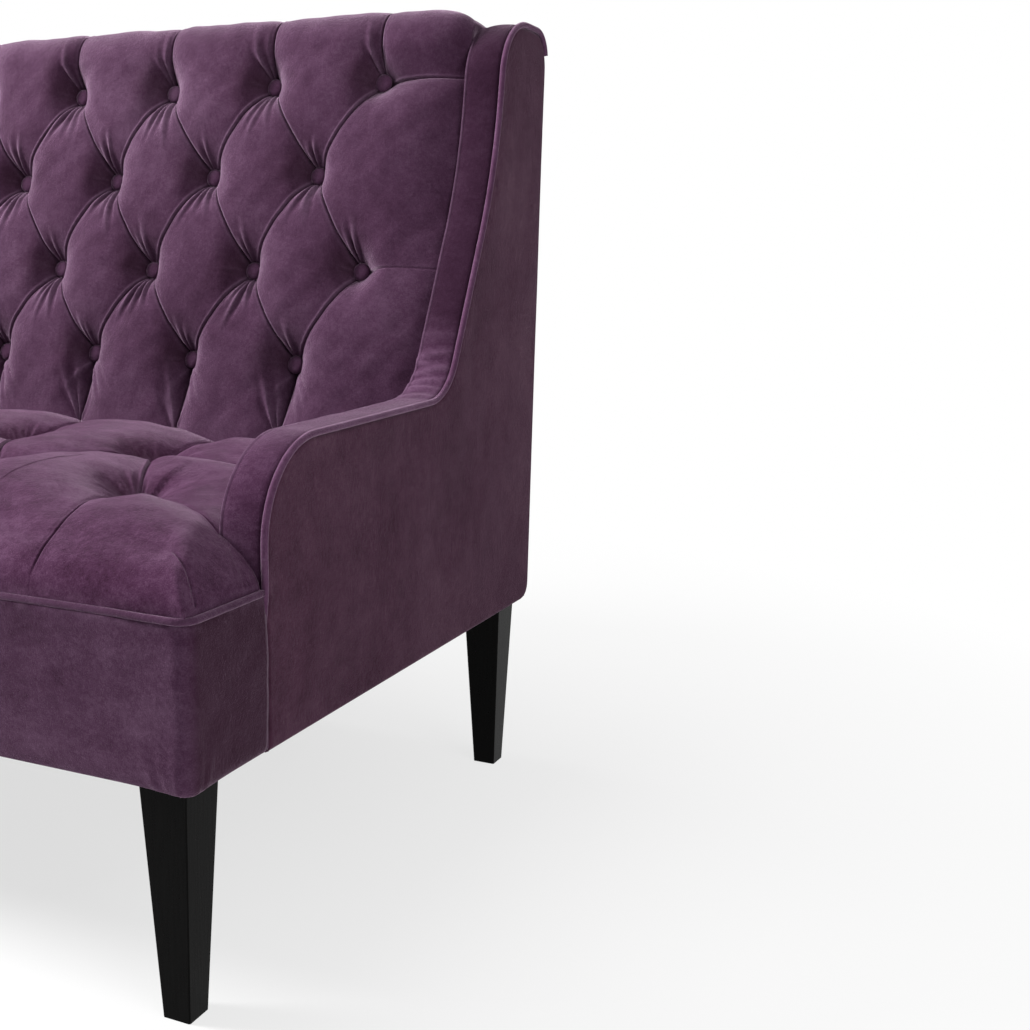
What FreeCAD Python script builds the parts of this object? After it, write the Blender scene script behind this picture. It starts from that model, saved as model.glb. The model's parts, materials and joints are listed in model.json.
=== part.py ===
"""High-backed two-seat settee with a diamond-tufted back, a tufted tight seat and tapered legs.

Millimetres, +Z up.  The origin is on the floor under the middle of the settee, +X runs along
its length and the sitter faces -Y.  Right means +X.
"""
import FreeCAD
import Part
import Sketcher
import math
import os
import re

Vector = FreeCAD.Vector

SIZES = {
    # Overall form
    "overall_width": 1520,
    "overall_depth": 861.5,
    "base_height": 237,
    "contact_gap": 0.3,
    # Welt cord, which stands proud of the faces it trims
    "welt_radius": 3.75,
    "welt_height": 400,
    "welt_rebate": 4,
    # Side profile of arm and wing: back is from the front face, ahead is from the rear of the top
    "arm_thickness": 52,
    "arm_toe_back": 131,
    "arm_front_back": 128,
    "arm_height": 541,
    "arm_rise": 8,
    "crook_ahead": 308,
    "kink_ahead": 169,
    "kink_drop": 189,
    "wing_top_ahead": 141,
    "wing_height": 1015,
    "rear_foot_ahead": 19,
    "nose_radius": 100,
    "crook_radius": 80,
    "kink_radius": 600,
    "wing_radius": 80,
    "rear_top_radius": 8,
    "rear_foot_radius": 20,
    # Layers of the arm, from the outside in
    "outside_panel": 4,
    "arm_board": 32,
    "arm_border_pad": 10,
    # Timber frame
    "rail_height": 100,
    "rail_thickness": 28,
    "corner_block_size": 72,
    "side_rail_inset": 36,
    "cross_rail_drop": 30,
    "post_front_ahead": 98,
    "post_clearance": 5,
    "frame_top_drop": 15,
    "top_rail_depth": 32,
    "top_rail_height": 70,
    "lower_rail_base": 440,
    "lower_rail_height": 60,
    "stile_front_ahead": 60,
    "stile_thickness": 30,
    "stile_width": 40,
    "stile_offset": 230,
    # Legs and their fixings
    "leg_top": 54,
    "leg_foot": 31,
    "leg_side_inset": 16,
    "leg_front_inset": 15,
    "leg_rear_inset": 17,
    "leg_side_taper": 5,
    "leg_front_taper": 4,
    "leg_edge": 1.2,
    "plate_size": 48,
    "plate_thickness": 3,
    "bolt_diameter": 8,
    "bolt_clearance": 0.3,
    "bolt_in_leg": 38,
    "bolt_in_block": 18,
    "block_bore": 12,
    # Webbing
    "web_thickness": 2,
    "web_width": 50,
    "cross_strap_front": 170,
    "cross_strap_rear": 160,
    "back_strap_rise": 90,
    "back_strap_drop": 100,
    # Cloth under the base
    "dust_cover_inset": 2,
    "leg_notch": 6,
    # Seat
    "seat_border_pad": 12,
    "base_corner_radius": 16,
    "base_edge_radius": 5,
    "seat_rear_ahead": 300,
    "seat_tuft_pitch": 212,
    "seat_tuft_margin": 110,
    "seat_front_row_back": 235,
    "seat_rear_row_ahead": 450,
    "seat_tuft_height": 445,
    "seat_crown": 40,
    "seat_crease": 19,
    "seat_brow_back": 30,
    "seat_brow_height": 446,
    "seat_corner_back": 38,
    "seat_corner_inset": 32,
    "seat_corner_height": 436,
    "seat_corner_arch": 5,
    "seat_brow_dip": 6,
    "seat_brow_arch": 4,
    "seat_end_pleat": 10,
    "seat_end_crown": 27,
    "seat_end_arch": 10,
    "seat_side_rise": 14,
    "seat_side_crown": 16,
    "seat_side_shift": 15,
    "seat_side_arch": 9,
    "seat_flank_drop": 30,
    # Back
    "back_tuft_pitch": 167,
    "back_tuft_margin": 100,
    "back_low_row": 575,
    "back_row_step": 123,
    "back_row_margin": 30,
    "back_plane_ahead": 260,
    "back_plane_height": 480,
    "back_slope": 0.254,
    "back_crown": 34,
    "back_crease": 17,
    "back_layer": 18,
    "back_hem_height": 440,
    "back_hem_pleat": 15.3,
    "back_hem_crown": 28.9,
    "back_hem_side": 12,
    "back_side_low": 16,
    "back_side_sink": 6,
    "back_shoulder_drop": 25,
    "back_shoulder_pleat": 5.1,
    "back_ridge_ahead": 107,
    "back_ridge_rise": 22,
    "back_rear_drop": 21,
    "ridge_pleat_drop": 9,
    "ridge_side_drop": 16,
    "top_band_height": 38,
    "top_band_pad": 3,
    # Covered buttons
    "button_radius": 11,
    "button_stem": 1.5,
    "button_crown": 6.5,
    "button_shank": 11,
    "button_dome": 5,
}
# Places that follow from the sizes above
PLACES = {
    "welt_proud": "2 * welt_radius - welt_rebate",
    "rear_top_back": "overall_depth - welt_proud - top_band_pad",
    "rear_foot_back": "rear_top_back - rear_foot_ahead",
    "crook_back": "rear_top_back - crook_ahead",
    "kink_back": "rear_top_back - kink_ahead",
    "kink_height": "wing_height - kink_drop",
    "wing_top_back": "rear_top_back - wing_top_ahead",
    "post_front_back": "rear_top_back - post_front_ahead",
    "arm_board_end": "post_front_back - post_clearance",
    "stile_front_back": "rear_top_back - stile_front_ahead",
    "frame_top": "wing_height - frame_top_drop",
    "seat_rear_back": "rear_top_back - seat_rear_ahead",
    "seat_rear_row_back": "rear_top_back - seat_rear_row_ahead",
    "back_plane_back": "rear_top_back - back_plane_ahead",
    "back_shoulder": "wing_height - back_shoulder_drop",
    "back_ridge_back": "rear_top_back - back_ridge_ahead",
    "back_ridge_height": "wing_height + back_ridge_rise",
}
WORD = re.compile(r"[a-z][a-z_]*")

doc = FreeCAD.newDocument("settee")
sheet = doc.addObject("Spreadsheet::Sheet", "Sizes")
for line, (alias, number) in enumerate(SIZES.items(), 1):
    sheet.set(f"A{line}", alias)
    sheet.set(f"B{line}", str(number))
    sheet.setAlias(f"B{line}", alias)
doc.recompute()

# Places that several pieces share, as formulas of the sheet's cells
SIDE = "(overall_width / 2 - welt_proud)"
FRONT = "(welt_proud - overall_depth / 2)"
ARM_INNER = f"({SIDE} - arm_thickness)"
RAIL_BASE = "(base_height + 4)"
RAIL_TOP = f"({RAIL_BASE} + rail_height)"
WEB_TOP = f"({RAIL_TOP} + 2 * web_thickness)"
SEAT_LEDGE = "(welt_height - welt_rebate)"
SIDE_RAIL_OUTER = f"({SIDE} - side_rail_inset)"
SIDE_RAIL_INNER = f"({SIDE_RAIL_OUTER} - rail_thickness)"
BLOCK_INNER = f"({SIDE} - seat_border_pad - corner_block_size)"
BLOCK_BACK = "(seat_border_pad + corner_block_size)"
LEG_TOP_Z = f"({RAIL_BASE} - plate_thickness)"
REAR_LEG_BACK = "(rear_foot_back - leg_rear_inset - leg_top)"
REAR_SLOPE = "((rear_top_back - rear_foot_back) / (wing_height - base_height))"


def formula(text):
    """Spell out the places in a formula and point its size names at the sheet."""
    def spell(hit):
        if hit[0] in PLACES:
            return f"({formula(PLACES[hit[0]])})"
        return f"Sizes.{hit[0]}" if hit[0] in SIZES else hit[0]
    return WORD.sub(spell, str(text))


def value(text):
    return float(sheet.evalExpression(formula(text)))


def bind(thing, name, text):
    thing.setExpression(name, formula(text))


def back(text):
    """A distance back from the front face, as a place on Y."""
    return f"({FRONT} + {text})"


def rear_face(height):
    """How far back the outside back is at a height."""
    return f"(rear_foot_back + {REAR_SLOPE} * ({height} - base_height))"


pieces = []


def keep(thing, label):
    thing.Label = label
    pieces.append(thing)
    return thing


def block(label, x, y, z, kept=True):
    """A squared piece of timber or strap between low and high formulas on each axis."""
    box = doc.addObject("Part::Box", label)
    for axis, side, (low, high) in zip("xyz", ("Length", "Width", "Height"), (x, y, z)):
        bind(box, f"Placement.Base.{axis}", low)
        bind(box, side, f"({high}) - ({low})")
    return keep(box, label) if kept else box


def rod(label, x, y, low, high, diameter):
    cylinder = doc.addObject("Part::Cylinder", label)
    bind(cylinder, "Radius", f"({diameter}) / 2")
    bind(cylinder, "Height", f"({high}) - ({low})")
    for axis, place in zip("xyz", (x, y, low)):
        bind(cylinder, f"Placement.Base.{axis}", place)
    return cylinder


def mirror(label, source, kept=True):
    """The other-handed twin across the middle of the settee."""
    twin = doc.addObject("Part::Mirroring", label)
    twin.Source = source
    twin.Base = Vector(0, 0, 0)
    twin.Normal = Vector(1, 0, 0)
    return keep(twin, label) if kept else twin


def group(label, members):
    compound = doc.addObject("Part::Compound", label)
    compound.Links = members
    return keep(compound, label)


def cut(label, base, tool, kept=True):
    result = doc.addObject("Part::Cut", label)
    result.Base = base
    result.Tool = tool
    return keep(result, label) if kept else result


def sketch_on(body, plane, corners, lift):
    """A closed outline on one of the body's own planes, each corner held by two formulas."""
    sketch = body.newObject("Sketcher::SketchObject", f"{body.Name}_outline")
    datum = [part for part in body.Origin.OriginFeatures if part.Role == plane][0]
    sketch.AttachmentSupport = (datum, [""])
    sketch.MapMode = "FlatFace"
    bind(sketch, "AttachmentOffset.Base.z", lift)
    spots = [Vector(value(across), value(up), 0) for across, up in corners]
    count = len(spots)
    for index, spot in enumerate(spots):
        sketch.addGeometry(Part.LineSegment(spot, spots[(index + 1) % count]), False)
    for index in range(count):
        sketch.addConstraint(Sketcher.Constraint("Coincident", index, 2, (index + 1) % count, 1))
    for index, ((across, up), spot) in enumerate(zip(corners, spots)):
        for kind, text, number in (("DistanceX", across, spot.x), ("DistanceY", up, spot.y)):
            place = sketch.addConstraint(Sketcher.Constraint(kind, -1, 1, index, 1, number))
            bind(sketch, f"Constraints[{place}]", text)
    return sketch


def edges_where(shape, test):
    return [f"Edge{number}" for number, edge in enumerate(shape.Edges, 1) if test(edge)]


def stands_at(across, up, plane):
    """A test for the straight edge that a pad raises from one corner of its outline."""
    first, second = {"YZ_Plane": ("y", "z"), "XY_Plane": ("x", "y")}[plane]

    def test(edge):
        ends = [vertex.Point for vertex in edge.Vertexes]
        return all(abs(getattr(end, first) - across) + abs(getattr(end, second) - up) < 0.01
                   for end in ends)
    return test


def padded(label, plane, corners, start, length, radii=None, kept=True):
    """A body padded from an outline; radii maps a corner's number to its rounding."""
    body = doc.addObject("PartDesign::Body", label)
    sketch = sketch_on(body, plane, corners, start)
    pad = body.newObject("PartDesign::Pad", f"{label}_pad")
    pad.Profile = sketch
    bind(pad, "Length", length)
    body.Tip = pad
    doc.recompute()
    for number, radius in (radii or {}).items():
        across, up = (value(text) for text in corners[number])
        tip = body.Tip
        fillet = body.newObject("PartDesign::Fillet", f"{label}_round")
        fillet.Base = (tip, edges_where(tip.Shape, stands_at(across, up, plane)))
        bind(fillet, "Radius", radius)
        body.Tip = fillet
        doc.recompute()
    return keep(body, label) if kept else body


def round_edges(body, test, radius):
    tip = body.Tip
    fillet = body.newObject("PartDesign::Fillet", f"{body.Name}_soften")
    fillet.Base = (tip, edges_where(tip.Shape, test))
    bind(fillet, "Radius", radius)
    body.Tip = fillet
    doc.recompute()


# Arm and wing: five layers that share one side profile, each inset from it
TOE_LEAN = "((arm_front_back - arm_toe_back) / (arm_height - base_height))"
LOW_LEAN = "((kink_back - crook_back) / (kink_height - arm_height - arm_rise))"
HIGH_LEAN = "((wing_top_back - kink_back) / (wing_height - kink_height))"
LOW_REACH = f"sqrt(1 + {LOW_LEAN} * {LOW_LEAN})"
HIGH_REACH = f"sqrt(1 + {HIGH_LEAN} * {HIGH_LEAN})"
NOSE, CROOK, KINK, WING, REAR_TOP, REAR_FOOT = 1, 2, 3, 4, 5, 6
# The kink's rounding shrinks where the wing is too short for it
LOW_ROOM = f"((kink_height - arm_height - arm_rise) * {LOW_REACH} - crook_radius)"
HIGH_ROOM = f"((wing_height - kink_height) * {HIGH_REACH} - wing_radius)"
KINK_TURN = f"(({LOW_LEAN} - {HIGH_LEAN}) / (1 + {LOW_LEAN} * {HIGH_LEAN}))"
KINK_ROUND = f"min(kink_radius; 1.8 * min({LOW_ROOM}; {HIGH_ROOM}) / {KINK_TURN})"


def arm_outline(inset, floor, rear_top, rear_foot):
    """Corners of the side profile before rounding, drawn in by an inset at the front and top."""
    kink_up = f"{inset} * ({HIGH_REACH} - {LOW_REACH}) / ({LOW_LEAN} - {HIGH_LEAN})"
    top = f"(wing_height - {inset})"
    places = [
        (f"arm_toe_back + {inset} + {TOE_LEAN} * ({floor} - base_height)", floor),
        (f"arm_front_back + {inset} - {TOE_LEAN} * {inset}", f"arm_height - {inset}"),
        (f"crook_back + {inset} * ({LOW_REACH} - {LOW_LEAN})", f"arm_height + arm_rise - {inset}"),
        (f"kink_back + {inset} * {LOW_REACH} + {LOW_LEAN} * {kink_up}", f"kink_height + {kink_up}"),
        (f"wing_top_back + {inset} * ({HIGH_REACH} - {HIGH_LEAN})", top),
        (rear_top, top),
        (rear_foot, floor),
    ]
    return [(back(f"({across})"), up) for across, up in places]


def arm_radii(inset, rear=False):
    radii = {
        NOSE: f"nose_radius - {inset}",
        CROOK: f"crook_radius + {inset}",
        KINK: f"{KINK_ROUND} - {inset}",
        WING: f"wing_radius - {inset}",
    }
    if rear:
        radii[REAR_TOP] = "rear_top_radius"
        radii[REAR_FOOT] = "rear_foot_radius"
    return radii


def arm_layer(label, inset, floor, rear, start, length, rear_round=False, kept=True):
    rear_top, rear_foot = rear
    corners = arm_outline(inset, floor, rear_top, rear_foot)
    return padded(label, "YZ_Plane", corners, start, length, arm_radii(inset, rear_round), kept)


BOARD_FLOOR = f"({RAIL_TOP} + web_thickness + contact_gap)"
REAR_ENDS = ("rear_top_back", "rear_foot_back")
PAST_REAR = ("rear_top_back + 20", "rear_top_back + 20")
PANEL_INNER = f"({SIDE} - outside_panel)"
BOARD_INNER = f"({PANEL_INNER} - arm_board)"
BORDER_WIDTH = "arm_thickness - outside_panel"

right_panel = arm_layer("right_outside_arm", "welt_rebate", "base_height", REAR_ENDS,
                        PANEL_INNER, "outside_panel", rear_round=True)
post_space = block("post_space", (f"{ARM_INNER} - 1", SIDE),
                   (back("arm_board_end"), back("(rear_top_back + 40)")), ("0", "wing_height"), kept=False)
board_blank = arm_layer("arm_board_blank", "arm_border_pad", RAIL_BASE, PAST_REAR,
                        BOARD_INNER, "arm_board", kept=False)
right_board = cut("right_arm_board", board_blank, post_space)
inside_blank = arm_layer("inside_arm_blank", "arm_border_pad", BOARD_FLOOR, PAST_REAR,
                         ARM_INNER, f"{BOARD_INNER} - {ARM_INNER}", kept=False)
right_inside = cut("right_inside_arm", inside_blank, post_space)
border_outer = arm_layer("arm_border_outer", "0", BOARD_FLOOR, REAR_ENDS,
                         ARM_INNER, BORDER_WIDTH, kept=False)
border_inner = arm_layer("arm_border_inner", "arm_border_pad", f"{BOARD_FLOOR} - 20", PAST_REAR,
                         ARM_INNER, BORDER_WIDTH, kept=False)
right_border = cut("right_arm_border", border_outer, border_inner)
doc.recompute()
for piece in (right_panel, right_board, right_inside, right_border):
    mirror(piece.Label.replace("right", "left"), piece)


CORD_SIDES = 8
BUTTON_SIDES = 12


def ring(sides, radius, middle, axis):
    """The corners of a many-sided ring round an axis, light enough for what repeats or runs long."""
    turned = FreeCAD.Rotation(Vector(0, 0, 1), axis)
    angles = [2 * math.pi * index / sides for index in range(sides)]
    return [middle + turned.multVec(Vector(radius * math.cos(angle), radius * math.sin(angle), 0))
            for angle in angles]


def cord(label, path):
    """A welt cord swept along a smooth path of edges."""
    wire = Part.Wire(Part.__sortEdges__(path))
    first = wire.OrderedEdges[0]
    start, heading = first.valueAt(first.FirstParameter), first.tangentAt(first.FirstParameter)
    welt = doc.addObject("Part::Feature", label)
    section = ring(CORD_SIDES, value("welt_radius"), start, heading)
    welt.Shape = wire.makePipe(Part.Face(Part.makePolygon(section + section[:1])))
    return keep(welt, label)


# The arm welt follows the outer edge of the arm border from the floor of the base to the wing's rear
full_profile = arm_layer("arm_full_profile", "0", "base_height", REAR_ENDS, PANEL_INNER, "outside_panel",
                         kept=False)
welt_end = value(back("rear_top_back")) - value("rear_top_radius")
floor_end = value("base_height")
welt_path = []
for edge in full_profile.Shape.Edges:
    ends = [vertex.Point for vertex in edge.Vertexes]
    on_face = all(abs(end.x - value(PANEL_INNER)) < 0.01 for end in ends)
    at_rear = any(end.y > value(back("rear_foot_back")) - 1 for end in ends)
    at_top = all(abs(end.z - value("wing_height")) < 0.01 for end in ends)
    if on_face and at_top:
        front_end = min(ends, key=lambda end: end.y)
        welt_path.append(Part.makeLine(front_end, Vector(front_end.x, welt_end, front_end.z)))
    elif on_face and not at_rear:
        welt_path.append(edge)
cord_shift = Vector(value("outside_panel") - (value("welt_rebate") - value("welt_radius")), 0, 0)
moved_path = [edge.translated(cord_shift) for edge in welt_path]
right_welt = cord("right_arm_welt", moved_path)
mirror("left_arm_welt", right_welt)

# Base frame
RAIL_Z = (RAIL_BASE, RAIL_TOP)
front_span = (f"-{BLOCK_INNER}", BLOCK_INNER)
rear_span = (f"-{ARM_INNER}", ARM_INNER)
REAR_RAIL_BACK = "(rear_foot_back - outside_panel - rail_thickness)"
block("front_rail", front_span, (back("seat_border_pad"), back("(seat_border_pad + rail_thickness)")), RAIL_Z)
block("rear_rail", rear_span, (back(REAR_RAIL_BACK), back(f"({REAR_RAIL_BACK} + rail_thickness)")), RAIL_Z)
side_rail = block("right_side_rail", (SIDE_RAIL_INNER, SIDE_RAIL_OUTER),
                  (back(BLOCK_BACK), back("post_front_back")), (RAIL_BASE, f"{RAIL_TOP} + web_thickness"))
mirror("left_side_rail", side_rail)
block("seat_cross_rail", ("-rail_thickness / 2", "rail_thickness / 2"),
      (back("(seat_border_pad + rail_thickness)"), back(REAR_RAIL_BACK)),
      (RAIL_BASE, f"{RAIL_TOP} - cross_rail_drop"))
return_block = block("right_return_block", (SIDE_RAIL_OUTER, f"{SIDE} - seat_border_pad"),
                     (back(BLOCK_BACK), back("(arm_front_back + arm_border_pad)")), RAIL_Z)
mirror("left_return_block", return_block)

# Legs stand under the front corner blocks and the back posts, each on a plate and a hanger bolt
LEG_X = f"({SIDE} - leg_side_inset - leg_top)"
LEG_AXIS_X = f"({LEG_X} + leg_top / 2)"
FRONT_AXIS_Y = back("(leg_front_inset + leg_top / 2)")
REAR_AXIS_Y = back(f"({REAR_LEG_BACK} + leg_top / 2)")

corner_solid = block("corner_block_solid", (BLOCK_INNER, f"{SIDE} - seat_border_pad"),
                     (back("seat_border_pad"), back(BLOCK_BACK)), RAIL_Z, kept=False)
front_bore = rod("front_block_bore", LEG_AXIS_X, FRONT_AXIS_Y, f"{RAIL_BASE} - 1",
                 f"{RAIL_BASE} + bolt_in_block + 4", "block_bore")
right_block = cut("front_right_corner_block", corner_solid, front_bore)
mirror("front_left_corner_block", right_block)

post_corners = [
    (back("post_front_back"), RAIL_BASE),
    (back("post_front_back"), "frame_top - 1"),
    (back(f"({rear_face('(frame_top - 1)')} - outside_panel)"), "frame_top - 1"),
    (back(f"({rear_face(RAIL_BASE)} - outside_panel)"), RAIL_BASE),
]
post_solid = padded("back_post_solid", "YZ_Plane", post_corners, ARM_INNER,
                    "arm_thickness - outside_panel", kept=False)
post_bore = rod("post_bore", LEG_AXIS_X, REAR_AXIS_Y, f"{RAIL_BASE} - 1",
                f"{RAIL_BASE} + bolt_in_block + 4", "block_bore")
right_post = cut("right_back_post", post_solid, post_bore)
mirror("left_back_post", right_post)


def leg(label, start_back, axis_y):
    """A square leg, nearly plumb on its outer and front faces and tapered on the other two.

    The wedge is drawn lying down, its length on Y and its width on Z, and stood up on its foot.
    """
    body = doc.addObject("PartDesign::Body", label)
    wedge = body.newObject("PartDesign::AdditiveWedge", f"{label}_wedge")
    right, front = f"({LEG_X} + leg_top)", back(start_back)
    foot_right, foot_front = f"({right} - leg_side_taper)", f"({front} + leg_front_taper)"
    limits = {
        "Xmin": f"{foot_right} - leg_foot", "Xmax": foot_right,
        "X2min": f"{right} - leg_top", "X2max": right,
        "Zmin": f"-({foot_front} + leg_foot)", "Zmax": f"-{foot_front}",
        "Z2min": f"-({front} + leg_top)", "Z2max": f"-{front}",
        "Ymin": "0", "Ymax": LEG_TOP_Z,
    }
    for name, text in limits.items():
        setattr(wedge, name, value(text))
    for name, text in limits.items():
        bind(wedge, name, text)
    wedge.Placement = FreeCAD.Placement(Vector(0, 0, 0), FreeCAD.Rotation(Vector(1, 0, 0), 90))
    body.Tip = wedge
    doc.recompute()
    edges = body.newObject("PartDesign::Chamfer", f"{label}_edges")
    edges.Base = (wedge, edges_where(wedge.Shape, lambda edge: edge.BoundBox.ZLength > 100))
    bind(edges, "Size", "leg_edge")
    body.Tip = edges
    doc.recompute()
    bore = rod(f"{label}_bore", LEG_AXIS_X, axis_y, f"{LEG_TOP_Z} - bolt_in_leg - 2",
               f"{LEG_TOP_Z} + 1", "bolt_diameter + 2 * bolt_clearance")
    return body, bore


bolts = []
plates = []
for place, start_back, axis_y in (("front", "leg_front_inset", FRONT_AXIS_Y),
                                  ("rear", REAR_LEG_BACK, REAR_AXIS_Y)):
    leg_body, leg_bore = leg(f"{place}_leg_taper", start_back, axis_y)
    right_leg = cut(f"{place}_right_leg", leg_body, leg_bore)
    mirror(f"{place}_left_leg", right_leg)
    bolt = rod(f"{place}_bolt", LEG_AXIS_X, axis_y, f"{LEG_TOP_Z} - bolt_in_leg",
               f"{RAIL_BASE} + bolt_in_block", "bolt_diameter")
    bolts += [bolt, mirror(f"{place}_bolt_twin", bolt, kept=False)]
    plate_x = (f"{LEG_AXIS_X} - plate_size / 2", f"{LEG_AXIS_X} + plate_size / 2")
    plate_y = (f"{axis_y} - plate_size / 2", f"{axis_y} + plate_size / 2")
    slab = block(f"{place}_plate_slab", plate_x, plate_y, (LEG_TOP_Z, RAIL_BASE), kept=False)
    hole = rod(f"{place}_plate_hole", LEG_AXIS_X, axis_y, f"{LEG_TOP_Z} - 1", f"{RAIL_BASE} + 1",
               "bolt_diameter + 2 * bolt_clearance")
    plate = cut(f"{place}_plate", slab, hole, kept=False)
    plates += [plate, mirror(f"{place}_plate_twin", plate, kept=False)]
group("leg_bolts", bolts)
group("leg_plates", plates)

# Back frame
TOP_RAIL_REAR = f"({rear_face('(frame_top - top_rail_height)')} - outside_panel)"
TOP_RAIL_FRONT = f"({TOP_RAIL_REAR} - top_rail_depth)"
block("back_top_rail", rear_span, (back(TOP_RAIL_FRONT), back(TOP_RAIL_REAR)),
      ("frame_top - top_rail_height", "frame_top"))
block("back_lower_rail", rear_span, (back("(stile_front_back - rail_thickness)"), back("stile_front_back")),
      ("lower_rail_base", "lower_rail_base + lower_rail_height"))
stiles = []
for index, hand in enumerate(("-", "")):
    middle = f"({hand}stile_offset)"
    stiles.append(block(f"back_stile_{index + 1}", (f"{middle} - stile_width / 2", f"{middle} + stile_width / 2"),
                        (back("stile_front_back"), back("(stile_front_back + stile_thickness)")),
                        (RAIL_TOP, "frame_top - top_rail_height"), kept=False))
group("back_stiles", stiles)

# Webbing: long seat straps on the front and rear rails, cross straps over them, and back straps
LONG_STRAPS = 9
CROSS_STRAPS = 3
BACK_STRAPS = 5
straps = []
for index in range(LONG_STRAPS):
    middle = f"(({index} - {(LONG_STRAPS - 1) / 2}) * 2 * {BLOCK_INNER} / {LONG_STRAPS})"
    straps.append(block(f"long_strap_{index + 1}", (f"{middle} - web_width / 2", f"{middle} + web_width / 2"),
                        (back("(seat_border_pad + 4)"), back(f"({REAR_RAIL_BACK} + rail_thickness / 2)")),
                        (RAIL_TOP, f"{RAIL_TOP} + web_thickness"), kept=False))
group("seat_webbing_long", straps)
straps = []
for index in range(CROSS_STRAPS):
    strap_run = "(post_front_back - cross_strap_front - cross_strap_rear)"
    middle = back(f"(cross_strap_front + {index} * {strap_run} / {CROSS_STRAPS - 1})")
    straps.append(block(f"cross_strap_{index + 1}", rear_span,
                        (f"{middle} - web_width / 2", f"{middle} + web_width / 2"),
                        (f"{RAIL_TOP} + web_thickness", WEB_TOP), kept=False))
group("seat_webbing_cross", straps)
straps = []
for index in range(BACK_STRAPS):
    strap_run = "(frame_top - lower_rail_base - back_strap_rise - back_strap_drop)"
    low = f"(lower_rail_base + back_strap_rise + {index} * {strap_run} / {BACK_STRAPS - 1})"
    straps.append(block(f"back_strap_{index + 1}", (f"-{SIDE} + 14", f"{SIDE} - 14"),
                        (back("(post_front_back - web_thickness)"), back("post_front_back")),
                        (low, f"{low} + web_width"), kept=False))
group("back_webbing", straps)

# Flat-sided pads, panels and the cloth under the base
FOAM_SIDE = f"({ARM_INNER} - contact_gap)"
T_SIDE = f"({SIDE} - seat_border_pad - contact_gap)"
T_BACK = back("(arm_front_back - contact_gap)")
FOAM_FRONT = back("(seat_border_pad + contact_gap)")
BACK_TILT = "sqrt(1 + back_slope * back_slope)"


def layer_back(height, depth):
    """How far back the plane lies that runs a depth behind the tufts' own plane."""
    return f"(back_plane_back + back_slope * ({height} - back_plane_height) + ({depth}) * {BACK_TILT})"


seat_rear = back(f"({layer_back(WEB_TOP, 'back_layer')} - contact_gap)")
tee = [(f"-{T_SIDE}", FOAM_FRONT), (T_SIDE, FOAM_FRONT), (T_SIDE, T_BACK), (FOAM_SIDE, T_BACK),
       (FOAM_SIDE, seat_rear), (f"-{FOAM_SIDE}", seat_rear), (f"-{FOAM_SIDE}", T_BACK), (f"-{T_SIDE}", T_BACK)]
padded("seat_foam", "XY_Plane", tee, WEB_TOP, f"{SEAT_LEDGE} - {WEB_TOP}")
FOAM_LAYER = "back_layer + contact_gap / 3"
wedge = [(back(f"({layer_back(WEB_TOP, FOAM_LAYER)})"), WEB_TOP),
         (back(f"({layer_back('frame_top', FOAM_LAYER)})"), "frame_top"),
         (back("(post_front_back - web_thickness)"), "frame_top"),
         (back("(post_front_back - web_thickness)"), WEB_TOP)]
padded("back_foam", "YZ_Plane", wedge, f"-{FOAM_SIDE}", f"2 * {FOAM_SIDE}")

BAND_BASE = "(wing_height - rear_top_radius / 2 - top_band_height)"
rear_corners = [(back("(rear_foot_back - outside_panel)"), "base_height"),
                (back("rear_foot_back"), "base_height"),
                (back(rear_face(BAND_BASE)), BAND_BASE),
                (back(f"({rear_face(BAND_BASE)} - outside_panel)"), BAND_BASE)]
padded("outside_back", "YZ_Plane", rear_corners, f"-{PANEL_INNER}", f"2 * {PANEL_INNER}")
BAND_TOP = f"({BAND_BASE} + top_band_height)"
band_corners = [(back(rear_face(BAND_BASE)), BAND_BASE),
                (back("(rear_top_back + top_band_pad)"), BAND_BASE),
                (back("(rear_top_back + top_band_pad)"), BAND_TOP),
                (back(rear_face(BAND_TOP)), BAND_TOP)]
padded("back_top_band", "YZ_Plane", band_corners, f"-{PANEL_INNER}", f"2 * {PANEL_INNER}")

notch_x = f"({SIDE} - leg_side_inset - leg_top - leg_notch)"
notch_front = back("(leg_front_inset + leg_top + leg_notch)")
notch_rear = back(f"({REAR_LEG_BACK} - leg_notch)")
cloth_side = f"({SIDE} - seat_border_pad - dust_cover_inset)"
cloth_front = back("(seat_border_pad + dust_cover_inset)")
cloth_rear = back("(rear_foot_back - outside_panel - dust_cover_inset)")
quarter = [(notch_x, cloth_front), (notch_x, notch_front), (cloth_side, notch_front)]
rear_quarter = [(cloth_side, notch_rear), (notch_x, notch_rear), (notch_x, cloth_rear)]
right_half = quarter + rear_quarter
left_half = [(f"-{across}", up) for across, up in reversed(right_half)]
padded("dust_cover", "XY_Plane", right_half + left_half, f"{RAIL_BASE} - web_thickness", "web_thickness")

# Seat border: a padded band round the front of the base, returning along the sides to the arms
BORDER_END = back("(arm_front_back - welt_radius - contact_gap)")
BORDER_INNER = f"({SIDE} - seat_border_pad)"
border_ring = [(f"-{SIDE}", back("0")), (SIDE, back("0")), (SIDE, BORDER_END), (BORDER_INNER, BORDER_END),
               (BORDER_INNER, back("seat_border_pad")), (f"-{BORDER_INNER}", back("seat_border_pad")),
               (f"-{BORDER_INNER}", BORDER_END), (f"-{SIDE}", BORDER_END)]
seat_border = padded("seat_border", "XY_Plane", border_ring, "base_height", f"{SEAT_LEDGE} - base_height",
                     {0: "base_corner_radius", 1: "base_corner_radius"})


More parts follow.
